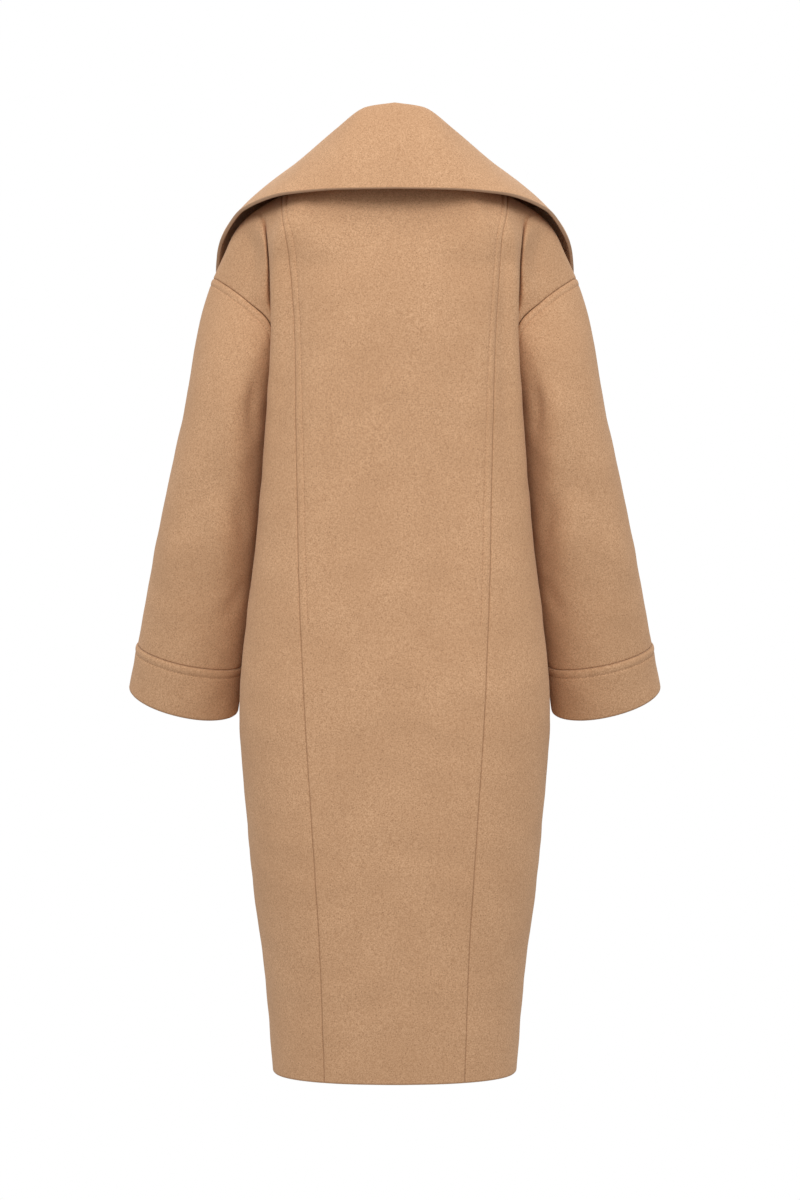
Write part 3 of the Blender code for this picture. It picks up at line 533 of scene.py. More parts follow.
def lying_collar(station, across, seam, outer_side):
    """The lapel folded flat: a half round at the roll line, and from there a straight line in x and z to
    its edge, at an even height off the front's face."""
    edge_x, edge_z, height = np.moveaxis(lapel_edge(station), -1, 0)
    reach_x, reach_z = edge_x - seam[..., 0], edge_z - seam[..., 2]
    length = np.hypot(reach_x, reach_z)
    quarter = np.pi / 2 * np.clip(across, 0, 1) + np.pi / 2 * np.clip((across - 1) / FOLD_SHARE, 0, 1)
    flat = np.clip((across - 1 - FOLD_SHARE) / (1 - FOLD_SHARE), 0, 1)
    distance = -FOLD_RADIUS * np.sin(quarter) + length * flat
    crest = FOLD_RADIUS * (1 - np.cos(quarter)) - CLOTH / 2
    stand_off = crest + (height - COLLAR_CLOTH / 2 - crest) * ease(0, 0.3, flat)
    x, z = seam[..., 0] + reach_x / length * distance, seam[..., 2] + reach_z / length * distance
    if outer_side:
        stand_off = stand_off + outer_lift(np.stack([x, x, z], -1))
    return on_chest(x, z, stand_off)[0]


def collar_half(station, across, outer_side):
    """One side's two faces: the free and the lying form, mixed by station, half the cloth each way."""
    seam, seam_out = collar_seam(station[:, 0])
    root = np.broadcast_to(seam[:, None], station.shape + (3,))
    middle = free_collar(station, across, root)
    lies = station[:, 0] > FREE_UNTIL
    lying = ease(FREE_UNTIL, LYING_FROM, station[lies])[..., None]
    flat = lying_collar(station[lies], across[lies], root[lies], outer_side)
    middle[lies] = middle[lies] * (1 - lying) + flat * lying
    out = grid_out(middle)
    if outer_side:
        seam = seam + seam_out * outer_lift(seam)[:, None]
    middle[:, 0], out[:, 0] = seam, seam_out
    half = (CLOTH + (COLLAR_CLOTH - CLOTH) * ease(0, 0.8, across))[..., None] / 2
    return middle + half * out, middle - half * out


# ---------------------------------------------------------------- shells


def grid_out(grid, round_about=False):
    """Directions at right angles to a grid of points, along its second index crossed with its first."""
    if round_about:
        padded = np.concatenate([grid[:, -1:], grid, grid[:, :1]], axis=1)
        across = padded[:, 2:] - padded[:, :-2]
    else:
        across = np.gradient(grid, axis=1)
    return unit(np.cross(across, np.gradient(grid, axis=0)))


def edge_slices(side):
    """An edge of a grid and the line next to it: low and high row, first and last column."""
    return {
        "low": (np.s_[0], np.s_[1]), "high": (np.s_[-1], np.s_[-2]),
        "first": (np.s_[:, 0], np.s_[:, 1]), "last": (np.s_[:, -1], np.s_[:, -2]),
    }[side]


def add_shell(name, outer, inner, free, material, sewn=(), round_about=False, power=1.0):
    """A closed wall between two grids of points that match. free names the free edges, with 1 or each
    point's share: there the wall turns over in a half round, whose points are the middle plus the half
    thickness times cosine towards the outer face and times sine outwards, each raised to the power, which
    squares the round off below 1. The line along a free edge and the two along a sewn one are marked: 1
    on the narrow side between the faces, a half on the faces."""
    outer, inner = outer.copy(), inner.copy()
    rows, columns = outer.shape[:2]
    away, seam_and_edge_shade_marks = np.zeros_like(outer), np.zeros((rows, columns))
    for side, share in free.items():
        edge, beside = edge_slices(side)
        share = np.broadcast_to(share, seam_and_edge_shade_marks[edge].shape)
        back = outer[edge] - outer[beside]
        room = np.linalg.norm(back, axis=-1)
        half = np.linalg.norm(outer[edge] - inner[edge], axis=-1) / 2
        away[edge] += unit(back) * (share * np.minimum(half, 0.75 * room))[..., None]
        seam_and_edge_shade_marks[edge] = np.maximum(seam_and_edge_shade_marks[edge], share)
    outer, inner = outer - away, inner - away
    for side in sewn:
        for line in edge_slices(side):
            seam_and_edge_shade_marks[line] = np.maximum(seam_and_edge_shade_marks[line], 1)
    number = np.arange(rows * columns).reshape(rows, columns)
    if round_about:
        loops = [number[0], number[-1, ::-1]]
        number = np.concatenate([number, number[:, :1]], axis=1)
    else:
        loops = [np.concatenate([number[0, :-1], number[:-1, -1], number[-1, :0:-1], number[:0:-1, 0]])]
    a, b, c, d = number[:-1, :-1], number[:-1, 1:], number[1:, 1:], number[1:, :-1]
    quads = np.stack([a, b, c, d], -1).reshape(-1, 4)
    total = rows * columns
    points, faces = [outer.reshape(-1, 3), inner.reshape(-1, 3)], [quads, quads[:, ::-1] + total]
    # these marks are where the material paints: a dark line along each seam, and painted shade along each
    # free edge's break and on its narrow side
    marks = [seam_and_edge_shade_marks.ravel() / 2, seam_and_edge_shade_marks.ravel() / 2]
    made = 2 * total
    flat_away = away.reshape(-1, 3)
    for loop in loops:
        middle, reach = (points[0][loop] + points[1][loop]) / 2, (points[0][loop] - points[1][loop]) / 2
        turn = np.pi * np.arange(1, HALF_ROUND + 1)[:, None, None] / (HALF_ROUND + 1)
        towards = np.sign(np.cos(turn)) * np.abs(np.cos(turn)) ** power
        rim = middle + reach * towards + flat_away[loop] * np.sin(turn) ** power
        levels = [loop, *(made + np.arange(rim[..., 0].size).reshape(HALF_ROUND, -1)), loop + total]
        made += rim[..., 0].size
        points.append(rim.reshape(-1, 3))
        marks.append(np.tile(seam_and_edge_shade_marks.ravel()[loop], HALF_ROUND))
        for level, below in zip(levels, levels[1:]):
            faces.append(np.stack([np.roll(level, -1), level, below, np.roll(below, -1)], -1))
    faces = np.concatenate(faces)
    return add_mesh(name, np.concatenate(points), faces, material, edge=np.concatenate(marks))


def add_mesh(name, points, faces, material, edge=None):
    """A smooth mesh of quads, turned so that its faces point outwards: its volume, the sum of the faces'
    triple products, comes out above 0."""
    corner = points[faces]
    volume = np.einsum("ij,ij->", corner[:, 0], np.cross(corner[:, 1], corner[:, 2]))
    volume += np.einsum("ij,ij->", corner[:, 0], np.cross(corner[:, 2], corner[:, 3]))
    if volume < 0:
        faces = faces[:, ::-1]
    mesh = bpy.data.meshes.new(name)
    mesh.vertices.add(len(points))
    mesh.vertices.foreach_set("co", points.ravel())
    mesh.loops.add(faces.size)
    mesh.loops.foreach_set("vertex_index", faces.ravel())
    mesh.polygons.add(len(faces))
    mesh.polygons.foreach_set("loop_start", np.arange(len(faces)) * 4)
    mesh.update(calc_edges=True)
    mesh.validate()
    if edge is not None:
        mesh.attributes.new("edge", "FLOAT", "POINT").data.foreach_set("value", edge.astype(np.float32))
    mesh.shade_smooth()
    mesh.materials.append(material)
    piece = bpy.data.objects.new(name, mesh)
    bpy.context.scene.collection.objects.link(piece)
    return piece


def on_half(half, *grids):
    """Grids of the coat's left half as they are (half 1), or mirrored onto its right half (-1)."""
    return [grid * (half, 1, 1) for grid in grids]


def tube_walls(number):
    """Quads between the rings of tubes, from their points' numbers by tube, ring and place round it."""
    beside = np.roll(number, -1, axis=-1)
    corners = number[..., :-1, :], beside[..., :-1, :], beside[..., 1:, :], number[..., 1:, :]
    return np.stack(corners, -1).reshape(-1, 4)


def declare(piece, slot, *nodes):
    """The piece moves with the coat and stands for the named solids, which it hides. The slot is not
    used.
    """
    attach(piece, "root")
    if nodes:
        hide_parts(*nodes)


def add_sheet(node, cut, rests_on, faces, free, material, **shell):
    """A sheet of cloth that stands for one solid. The cut is not used."""
    piece = add_shell(f"{node}_cloth", *faces, free, material, **shell)
    declare(piece, "wool", node)


# ---------------------------------------------------------------- relief


def seam_relief(distance, topstitched=0.0):
    """How the cloth's face lies beside a seam: it drops by a bell curve into the seam, and by the share
    that it is topstitched it puffs up by a sine squared before the stitches and dips by a bell curve
    under them."""
    settings = bpy.context.scene.coat_cloth
    puff = np.sin(np.pi * np.clip(distance / STITCH_LINE, 0, 1)) ** 2
    dip = bell(distance - STITCH_LINE, DIP_WIDTH)
    sewn = topstitched * (PUFF * puff - settings.stitch_depth * dip)
    return sewn - settings.seam_depth * bell(distance, SEAM_WIDTH)


def crease(across, along, slant, half_width, half_length, height):
    """A soft ridge or trough: a bell curve across its line, times the square of 1 less the share of its
    half length squared, along it."""
    slant = np.radians(slant)
    sideways = across * np.cos(slant) - along * np.sin(slant)
    lengthways = across * np.sin(slant) + along * np.cos(slant)
    fade = np.clip(1 - (lengthways / half_length) ** 2, 0, 1) ** 2
    return height * bell(sideways, half_width) * fade


def body_creases(side, half, u, v):
    """The sum of the body's creases on one half, which fades out at the side seam and the shoulder."""
    relief = np.zeros(np.broadcast(u, v).shape)
    for on_side, on_half, place_u, place_v, slant, half_width, half_length, height in BODY_CREASES:
        if on_side == side and on_half in (0, half):
            relief += crease((u - place_u) * ROW_UNIT, (v - place_v) * SHOULDER_ARC, slant, half_width,
                             half_length, height)
    return relief * ease(0, 0.25, 2 - u) * ease(0, 0.1, 1 - v)


def arm_fold(side, u, v):
    """The fold beside the arm: how far it moves the cloth outwards and sideways, and its share from 0 to
    1. Its slot is a bell curve, half as steep on its outer side, the edge inside it a ridge of the same
    kind that leans over the slot, and the cloth outside it stands out, eased up over 6 mm and down over
    35 mm."""
    line, depth, width, stand_out = np.moveaxis(smooth_curve(ARM_FOLD[side])(v), -1, 0)
    distance = (u - line) * stretch(side, line + 0.05, v)
    fade = ease(0, 0.30, 2 - u)
    edge, lean = bell(distance - EDGE_AT, EDGE_WIDTH), bell(distance - LEAN_AT, LEAN_WIDTH)
    slot = bell(distance - SLOT_AT, np.where(distance > SLOT_AT, 2 * width, width))
    outside = ease(*OUTSIDE_RISES, distance) * (1 - ease(*OUTSIDE_FALLS, distance))
    height = fade * (depth * (EDGE_SHARE * edge - slot) + stand_out * outside)
    move = np.stack([LEAN_SHARE * depth * lean * fade, side * height, 0 * height], -1)
    share = ease(0, 0.003, depth) * ease(0.90, 0.97, u) * ease(0, 0.20, 2 - u)
    return move, share[..., None]


def sleeve_creases(along, angle):
    """The sum of the sleeve's creases, which fades out at the armhole and the cuff."""
    relief = np.zeros(np.broadcast(along, angle).shape)
    for place, turn, slant, half_width, half_length, height in SLEEVE_CREASES:
        relief += crease((angle - np.radians(turn)) * SLEEVE_RADIUS, (along - place) * SLEEVE_UNIT, slant,
                         half_width, half_length, height)
    return relief * ease(0, 0.08, along) * ease(0, 0.05, CUFF_SEAM - along)


def nap(point):
    """The cloth's slight unevenness: a sum of sines of the place, of wavelengths from 35 to 90 mm."""
    x, y, z = np.moveaxis(point, -1, 0)
    waves = (
        (70, 11, 40, 0.0), (31, 60, 95, 1.7), (88, 35, 71, 3.1), (120, 80, 29, 4.4), (53, 140, 130, 0.9),
    )
    return NAP * sum(np.sin(a * x + b * y + c * z + d) for a, b, c, d in waves)


# ---------------------------------------------------------------- panels


def stretch(side, u, v):
    """Metres along a row for one unit of u."""
    nudge = 2e-3
    low, high = np.maximum(u - nudge, -1), np.minimum(u + nudge, 2)
    return np.linalg.norm(body_point(side, high, v) - body_point(side, low, v), axis=-1) / (high - low)


def panel_rows():
    """The rows of a panel from its turned hem to its shoulder seam, and their distances from both."""
    low, high = TURNED / SHOULDER_ARC, 1 - SEWN[::-1] / SHOULDER_ARC
    count = int((high[0] - low[-1]) * SHOULDER_ARC / STEP)
    v = np.concatenate([low, np.linspace(low[-1], high[0], count)[1:-1], high])
    return v, np.where(v > high[0], (1 - v) * SHOULDER_ARC, 1.0)


def near_edges(count, near_start):
    """Each line's distance from the first and the last edge, in their near steps, and 1 elsewhere."""
    from_start, from_end = np.ones(count), np.ones(count)
    from_start[:len(near_start)], from_end[-len(SEWN):] = near_start, SEWN[::-1]
    return from_start, from_end


def across_panel(side, v, start, near_start, counts):
    """Columns of a panel from its first edge to the side seam: steps near both edges, wide ones to the
    ridge, narrow ones across the fold beside the arm, and even ones from there on. Gives u and the
    distances from the first and the last edge."""
    v = v[:, None]
    end = np.full_like(v, 2.0)
    first = start[:, None] + near_start / stretch(side, start[:, None], v)
    last = end - SEWN[::-1] / stretch(side, end, v)
    to_ridge = np.linspace(0, 1, counts[0])[1:]
    across_fold, to_seam = np.linspace(0, FOLD_ZONE, counts[1]), np.linspace(FOLD_ZONE, 1, counts[2])
    past_ridge = np.concatenate([across_fold[1:-1], to_seam[:-1]])
    u = np.concatenate([
        first, first[:, -1:] + (1 - first[:, -1:]) * (1 - (1 - to_ridge) ** 1.25),
        1 + (last[:, :1] - 1) * past_ridge, last,
    ], axis=1)
    return u, *near_edges(u.shape[1], near_start)


def panel_faces(side, half, u, v, relief, lift=0.0):
    """The two faces of a panel: the row's surface with the fold beside the arm, moved out by the lift,
    the creases and the nap, and the outer one also by the seams' relief."""
    point, out = body_point(side, u, v), body_out(side, u, v)
    fold, share = arm_fold(side, u, v)
    point = point + fold
    out = unit((1 - share) * out - side * share * grid_out(point))
    height = (body_creases(side, half, u, v) + nap(point) + lift)[..., None]
    return point + (height + relief[..., None]) * out, point + (height - CLOTH) * out


def back_centre_grid():
    """Half the back's middle panel: u, v and the distance from the seam. The columns near the seam keep
    their distance from it, the others share out the rest, and the rows above the shoulder blades rise to
    the neck hole's edge and the shoulder seam."""
    rows, from_shoulder = panel_rows()
    shares = np.linspace(0, 1, 24)
    share = np.concatenate([shares, np.ones(len(SEWN) - 1)])
    distance = np.concatenate([np.full(len(shares), SEWN[-1]), SEWN[-2::-1]])

    def place(v):
        seam = back_seam_u(v)
        return share * (seam - distance / stretch(1, seam, v))

    top = np.ones_like(share)
    for _ in range(12):
        top = neck_top_v(place(top))
    rise = np.maximum(rows - NECK_FROM, 0)[:, None] / (1 - NECK_FROM)
    v = np.minimum(rows, NECK_FROM)[:, None] + rise * (top - NECK_FROM)
    from_seam = np.where(share < 1, 1.0, distance)
    return place(v), v, from_seam, from_shoulder


def make_back(material):
    """The back's middle panel and its two side panels."""
    u, v, from_seam, from_shoulder = back_centre_grid()
    stitched = ease(STITCHED_FROM - 0.006, STITCHED_FROM, HEM_HEIGHT + v * SHOULDER_ARC)
    relief = seam_relief(from_seam, stitched) + seam_relief(from_shoulder)[:, None]
    left, right = (on_half(half, *panel_faces(1, half, u, v, relief)) for _, half in SIDES)
    faces = [np.concatenate([far[:, :0:-1], near], axis=1) for far, near in zip(right, left)]
    sewn = ("first", "last", "high")
    add_sheet("back_centre", "back_centre", [], faces, {"low": 1}, material, sewn=sewn)

    v, from_shoulder = panel_rows()
    u, from_start, from_end = across_panel(1, v, back_seam_u(v), SEWN, (16, 56, 14))
    relief = seam_relief(from_start) + seam_relief(from_end) + seam_relief(from_shoulder)[:, None]
    for name, half in SIDES:
        faces = on_half(half, *panel_faces(1, half, u, v[:, None], relief))
        add_sheet(f"back_side_{name}", "back_side", ["back_centre_cloth"], faces, {"low": 1}, material,
                  sewn=sewn)


def make_fronts(material):
    """The two fronts: each begins at its turned edge, and above the break at the roll line."""
    v, from_shoulder = panel_rows()
    u, _, from_end = across_panel(-1, v, front_edge_u(v), TURNED, (50, 40, 14))
    below_break = 1 - ease(BREAK_V - 0.004, BREAK_V + 0.004, v)
    relief = seam_relief(from_end) + seam_relief(from_shoulder)[:, None]
    for name, half in SIDES:
        lift = 0.0 if half > 0 else outer_lift(body_point(-1, u, v[:, None]))
        faces = on_half(half, *panel_faces(-1, half, u, v[:, None], relief, lift))
        add_sheet(f"front_{name}", "front", [f"back_side_{name}_cloth"], faces,
                  {"low": 1, "first": below_break}, material, sewn=("last", "high"))


# ---------------------------------------------------------------- sleeves and cuffs


def sleeve_stretch(along, angle):
    """Metres along the sleeve for one unit."""
    nudge = 2e-3
    step = sleeve_point(along + nudge, angle) - sleeve_point(along, angle)
    return np.linalg.norm(step, axis=-1) / nudge


def cuff_length(angle):
    """The cuff band's mean length along the sleeve."""
    return (1 - CUFF_SEAM) * sleeve_stretch(0 * angle + CUFF_SEAM, angle).mean()


def make_sleeves(material):
    """The sleeves, from the armhole's seam, with its topstitching, to the cuff's seam."""
    angle = full_turn(ARM_COLUMNS)
    top = SEWN[:, None] / sleeve_stretch(0 * angle, angle)
    low = CUFF_SEAM - SEWN[::-1, None] / sleeve_stretch(0 * angle + CUFF_SEAM, angle)
    middle = np.linspace(0, 1, 100)[1:-1, None]
    along = np.concatenate([top, top[-1] + (low[0] - top[-1]) * middle, low])
    from_top, from_low = near_edges(len(along), SEWN)
    relief = seam_relief(from_top, 1.0) + seam_relief(from_low)
    point = sleeve_point(along, angle)
    out = -grid_out(point, True)
    height = (sleeve_creases(along, angle) + nap(point))[..., None]
    faces = point + (height + relief[:, None, None]) * out, point + (height - CLOTH) * out
    for name, half in SIDES:
        add_sheet(f"sleeve_{name}", "sleeve", [f"back_side_{name}_cloth"], on_half(half, *faces), {},
                  material, sewn=("low", "high"), round_about=True)


def make_cuffs(material):
    """The cuff bands, a little proud of the sleeves, with topstitching below their seam."""
    angle = full_turn(ARM_COLUMNS)
    length = cuff_length(angle)
    between = np.linspace(SEWN[-1], length - TURNED[-1], 9)[1:]
    distance = np.concatenate([SEWN, between, length - TURNED[-2::-1]])
    along = CUFF_SEAM + (1 - CUFF_SEAM) * distance / length
    point = sleeve_point(along[:, None], angle)
    out = -grid_out(point, True)
    proud = CUFF_PROUD + seam_relief(distance, 1.0)[:, None] + nap(point)
    faces = point + proud[..., None] * out, point + (CUFF_PROUD - CUFF_CLOTH) * out
    for name, half in SIDES:
        add_sheet(f"cuff_{name}", "cuff", [f"sleeve_{name}_cloth"], on_half(half, *faces), {"high": 1},
                  material, sewn=("low",), round_about=True)


# ---------------------------------------------------------------- collar


def collar_lines():
    """The collar's stations, closer round the neck and the shoulder, and its lines across: the stand, the
    fold, the fall and the steps to its turned edge."""
    station = np.concatenate([
        np.linspace(0, 1, 44)[:-1], np.linspace(1, 1.3, 34)[:-1], np.linspace(1.3, 2, 86),
    ])
    across = np.concatenate([
        np.linspace(0, 1, 11)[:-1], np.linspace(1, 1 + FOLD_SHARE, 7)[:-1],
        np.linspace(1 + FOLD_SHARE, 1.96, 30)[:-1], (1.96, 1.98, 1.991, 2.0),
    ])
    return np.meshgrid(station, across, indexing="ij")


def make_collar(material):
    """The shawl collar and its two lapels, one sheet from the left lapel's end to the right one's."""
    station, across = collar_lines()
    left, right = (on_half(half, *collar_half(station, across, half < 0)) for _, half in SIDES)
    faces = [np.concatenate([far[:0:-1], near]) for far, near in zip(right, left)]
    rests_on = ["back_centre_cloth", "front_left_cloth", "front_right_cloth"]
    add_sheet("shawl_collar", "shawl_collar", rests_on, faces, {"last": 1, "low": 1, "high": 1}, material,
              power=0.55)


# ---------------------------------------------------------------- topstitching


def add_stitches(name, path, out, material):
    """Stitches along a path: each is a bar of four sides whose middle stands up and whose ends go down
    into the cloth by the square of the way from its middle."""
    settings = bpy.context.scene.coat_cloth
    run = np.concatenate([[0], np.cumsum(np.linalg.norm(np.diff(path, axis=0), axis=1))])
    count = int(run[-1] / (settings.stitch_length + settings.stitch_gap))
    middle = (np.arange(count) + 0.5) * run[-1] / count
    t = np.linspace(-1, 1, 5)
    at = middle[:, None] + t * settings.stitch_length / 2
    point = np.stack([np.interp(at, run, path[:, i]) for i in range(3)], -1)
    up = unit(np.stack([np.interp(at, run, out[:, i]) for i in range(3)], -1))
    ahead = unit(point[:, -1:] - point[:, :1])
    aside = unit(np.cross(ahead, up))
    radius = settings.thread_radius
    rise = (0.6 * radius - 2.2 * radius * t**2)[None, :, None, None]
    turn = full_turn(4) + np.pi / 4
    ring = np.cos(turn)[:, None] * aside[:, :, None] + np.sin(turn)[:, None] * up[:, :, None]
    points = point[:, :, None] + rise * up[:, :, None] + radius * ring
    number = np.arange(points[..., 0].size).reshape(points.shape[:3])
    faces = np.concatenate([tube_walls(number), number[:, 0, ::-1], number[:, -1]])
    declare(add_mesh(name, points.reshape(-1, 3), faces, material), "wool")


def make_stitching(material):
    """Topstitching along the back's two long seams, below the armholes' seams and on the cuffs."""
    v = np.linspace((STITCHED_FROM - HEM_HEIGHT) / SHOULDER_ARC, STITCHED_TO, PATH_POINTS)
    seam = back_seam_u(v)
    u = seam - STITCH_LINE / stretch(1, seam, v)
    point, out = body_point(1, u, v), body_out(1, u, v)
    sink = -bpy.context.scene.coat_cloth.stitch_depth
    for name, half in SIDES:
        height = (body_creases(1, half, u, v) + nap(point) + sink)[:, None]
        add_stitches(f"back_stitches_{name}", *on_half(half, point + height * out, out), material)
    angle = np.linspace(0, 2 * np.pi, PATH_POINTS)
    on_sleeve = STITCH_LINE / sleeve_stretch(0 * angle, angle)
    on_cuff = CUFF_SEAM + (1 - CUFF_SEAM) * STITCH_LINE / cuff_length(angle) + 0 * angle
    for band, along, proud in (("sleeve", on_sleeve, 0.0), ("cuff", on_cuff, CUFF_PROUD)):
        pair = np.stack([sleeve_point(along, angle), sleeve_point(along + 0.004, angle)])
        out = -grid_out(pair)[0]
        path = pair[0] + (proud + nap(pair[0]) + sink)[:, None] * out
        for name, half in SIDES:
            add_stitches(f"{band}_stitches_{name}", *on_half(half, path, out), material)


# ---------------------------------------------------------------- buttons

BUTTON_RINGS, BUTTON_SPOKES = 22, 72
HOLE_RADIUS, HOLE_DEPTH = 0.0011, 0.0016
HOLE_ASIDE = 0.0026 * 0.7071  # from the button's middle to a hole, across and up
MIDDLE_SHARE = 0.02  # the innermost ring of its back and its face, as a share of the outermost
# how far a bar of thread ends below the face, how high it stands over its ends, and half its thickness
THREAD_SINK, THREAD_ARCH, THREAD_RADIUS = 0.0004, 0.0009, 0.0006
# The button's outline from its back's rim to its face: share of the radius and of the thickness.
BUTTON_OUTLINE = (
    (0.0, 0.90, 0.00), (0.1, 0.97, 0.06), (0.2, 1.00, 0.22), (0.4, 1.00, 0.60), (0.55, 0.97, 0.88),
    (0.7, 0.90, 1.00), (0.85, 0.80, 0.94), (0.95, 0.73, 0.80), (1.0, 0.68, 0.76),
)


def button_frame(x, z):
    """Where a button lies on the outer front, and its aside, up and out directions."""
    place = np.array((-x, 0, z))
    centre, out = on_half(-1, *on_chest(place[0], place[2], outer_lift(place) + BUTTON_GAP))
    aside = unit(np.cross((0, 0, 1), out))
    return centre, aside, np.cross(out, aside), out


def make_buttons(resin, thread):
    """The buttons: an outline turned round, a face that dips to four holes by bell curves, and thread."""
    outline = smooth_curve(BUTTON_OUTLINE)(np.linspace(0, 1, 16))
    inward = np.linspace(1, MIDDLE_SHARE, BUTTON_RINGS)[1:] * outline[-1, 0]
    radius = np.concatenate([[MIDDLE_SHARE], outline[:, 0], inward]) * BUTTON_RADIUS
    rise = np.concatenate([[0], outline[:, 1], np.full(len(inward), outline[-1, 1])]) * BUTTON_THICKNESS
    angle = full_turn(BUTTON_SPOKES)
    x, y = radius[:, None] * np.cos(angle), radius[:, None] * np.sin(angle)
    rise = np.repeat(rise[:, None], BUTTON_SPOKES, axis=1)
    on_face = np.arange(len(radius)) > len(outline)
    for hole_x, hole_y in ((1, 1), (1, -1), (-1, 1), (-1, -1)):
        away = np.hypot(x - hole_x * HOLE_ASIDE, y - hole_y * HOLE_ASIDE)
        dip = HOLE_DEPTH * (1 - ease(HOLE_RADIUS * 0.7, HOLE_RADIUS, away))
        rise -= np.where(on_face[:, None], dip, 0)
    number = np.arange(x.size).reshape(x.shape)
    # the two small middles are closed by quads between opposite spokes
    spokes = np.arange(BUTTON_SPOKES // 2 - 1)
    caps = [np.stack([ring[spokes], ring[spokes + 1], ring[-spokes - 2], ring[-spokes - 1]], -1)
            for ring in (number[0, ::-1], number[-1])]
    faces = np.concatenate([tube_walls(number), *caps])
    for row, height in enumerate(BUTTON_ROWS, 1):
        for column, half in SIDES:
            centre, aside, up, out = button_frame(half * BUTTON_COLUMN, height)
            points = centre + x[..., None] * aside + y[..., None] * up + rise[..., None] * out
            name = f"button_{column}_{row}"
            piece = add_mesh(f"{name}_resin", points.reshape(-1, 3), faces, resin)
            declare(piece, "buttons", name)
            add_thread(f"{name}_thread", centre, aside, up, out, thread)


def add_thread(name, centre, aside, up, out, material):
    """Two bars of thread from hole to hole: a half turn of an ellipse with a round section."""
    t = np.linspace(0, np.pi, 12)
    turn = full_turn(6)
    face = BUTTON_THICKNESS * BUTTON_OUTLINE[-1][2]
    points = []
    for side in (-1, 1):
        path = (centre + side * HOLE_ASIDE * aside + np.cos(t)[:, None] * HOLE_ASIDE * up
                + (face - THREAD_SINK + THREAD_ARCH * np.sin(t)[:, None]) * out)
        ahead = unit(np.gradient(path, axis=0))
        normal = np.cross(ahead, aside)
        ring = np.cos(turn)[:, None] * aside + np.sin(turn)[:, None] * normal[:, None]
        points.append(path[:, None] + THREAD_RADIUS * ring)
    points = np.stack(points)
    number = np.arange(points[..., 0].size).reshape(points.shape[:3])
    # each six-sided end is closed by two quads
    ends = [number[:, 0, (3, 2, 1, 0)], number[:, 0, (5, 4, 3, 0)],
            number[:, -1, (0, 1, 2, 3)], number[:, -1, (0, 3, 4, 5)]]
    faces = np.concatenate([tube_walls(number), *ends])
    declare(add_mesh(name, points.reshape(-1, 3), faces, material), "buttons")


# ---------------------------------------------------------------- materials


def linear(hex_colour):
    """An sRGB hex value as linear red, green and blue."""
    values = np.array([int(hex_colour[i:i + 2], 16) for i in (1, 3, 5)]) / 255
    curved = ((values + 0.055) / 1.055) ** 2.4
    return tuple(float(c) for c in np.where(values <= 0.04045, values / 12.92, curved))


def add_node(tree, kind, inputs, **settings):
    """Adds a node with its settings. inputs gives each socket's value, or the output that feeds it, and a
    colour is opaque."""
    made = tree.nodes.new(kind)
    for key, value in settings.items():
        setattr(made, key, value)
    for key, value in inputs.items():
        socket = made.inputs[key]
        if isinstance(value, bpy.types.NodeSocket):
            tree.links.new(value, socket)
        else:
            socket.default_value = (*value[:3], 1) if socket.type == "RGBA" else value
    return made


def new_material(name, values):
    """A material whose Principled shader has the given values, its node tree and that shader's inputs."""
    material = bpy.data.materials.new(name)
    material.use_nodes = True
    tree = material.node_tree
    inputs = tree.nodes["Principled BSDF"].inputs
    for key, value in values.items():
        inputs[key].default_value = value
    return material, tree, inputs


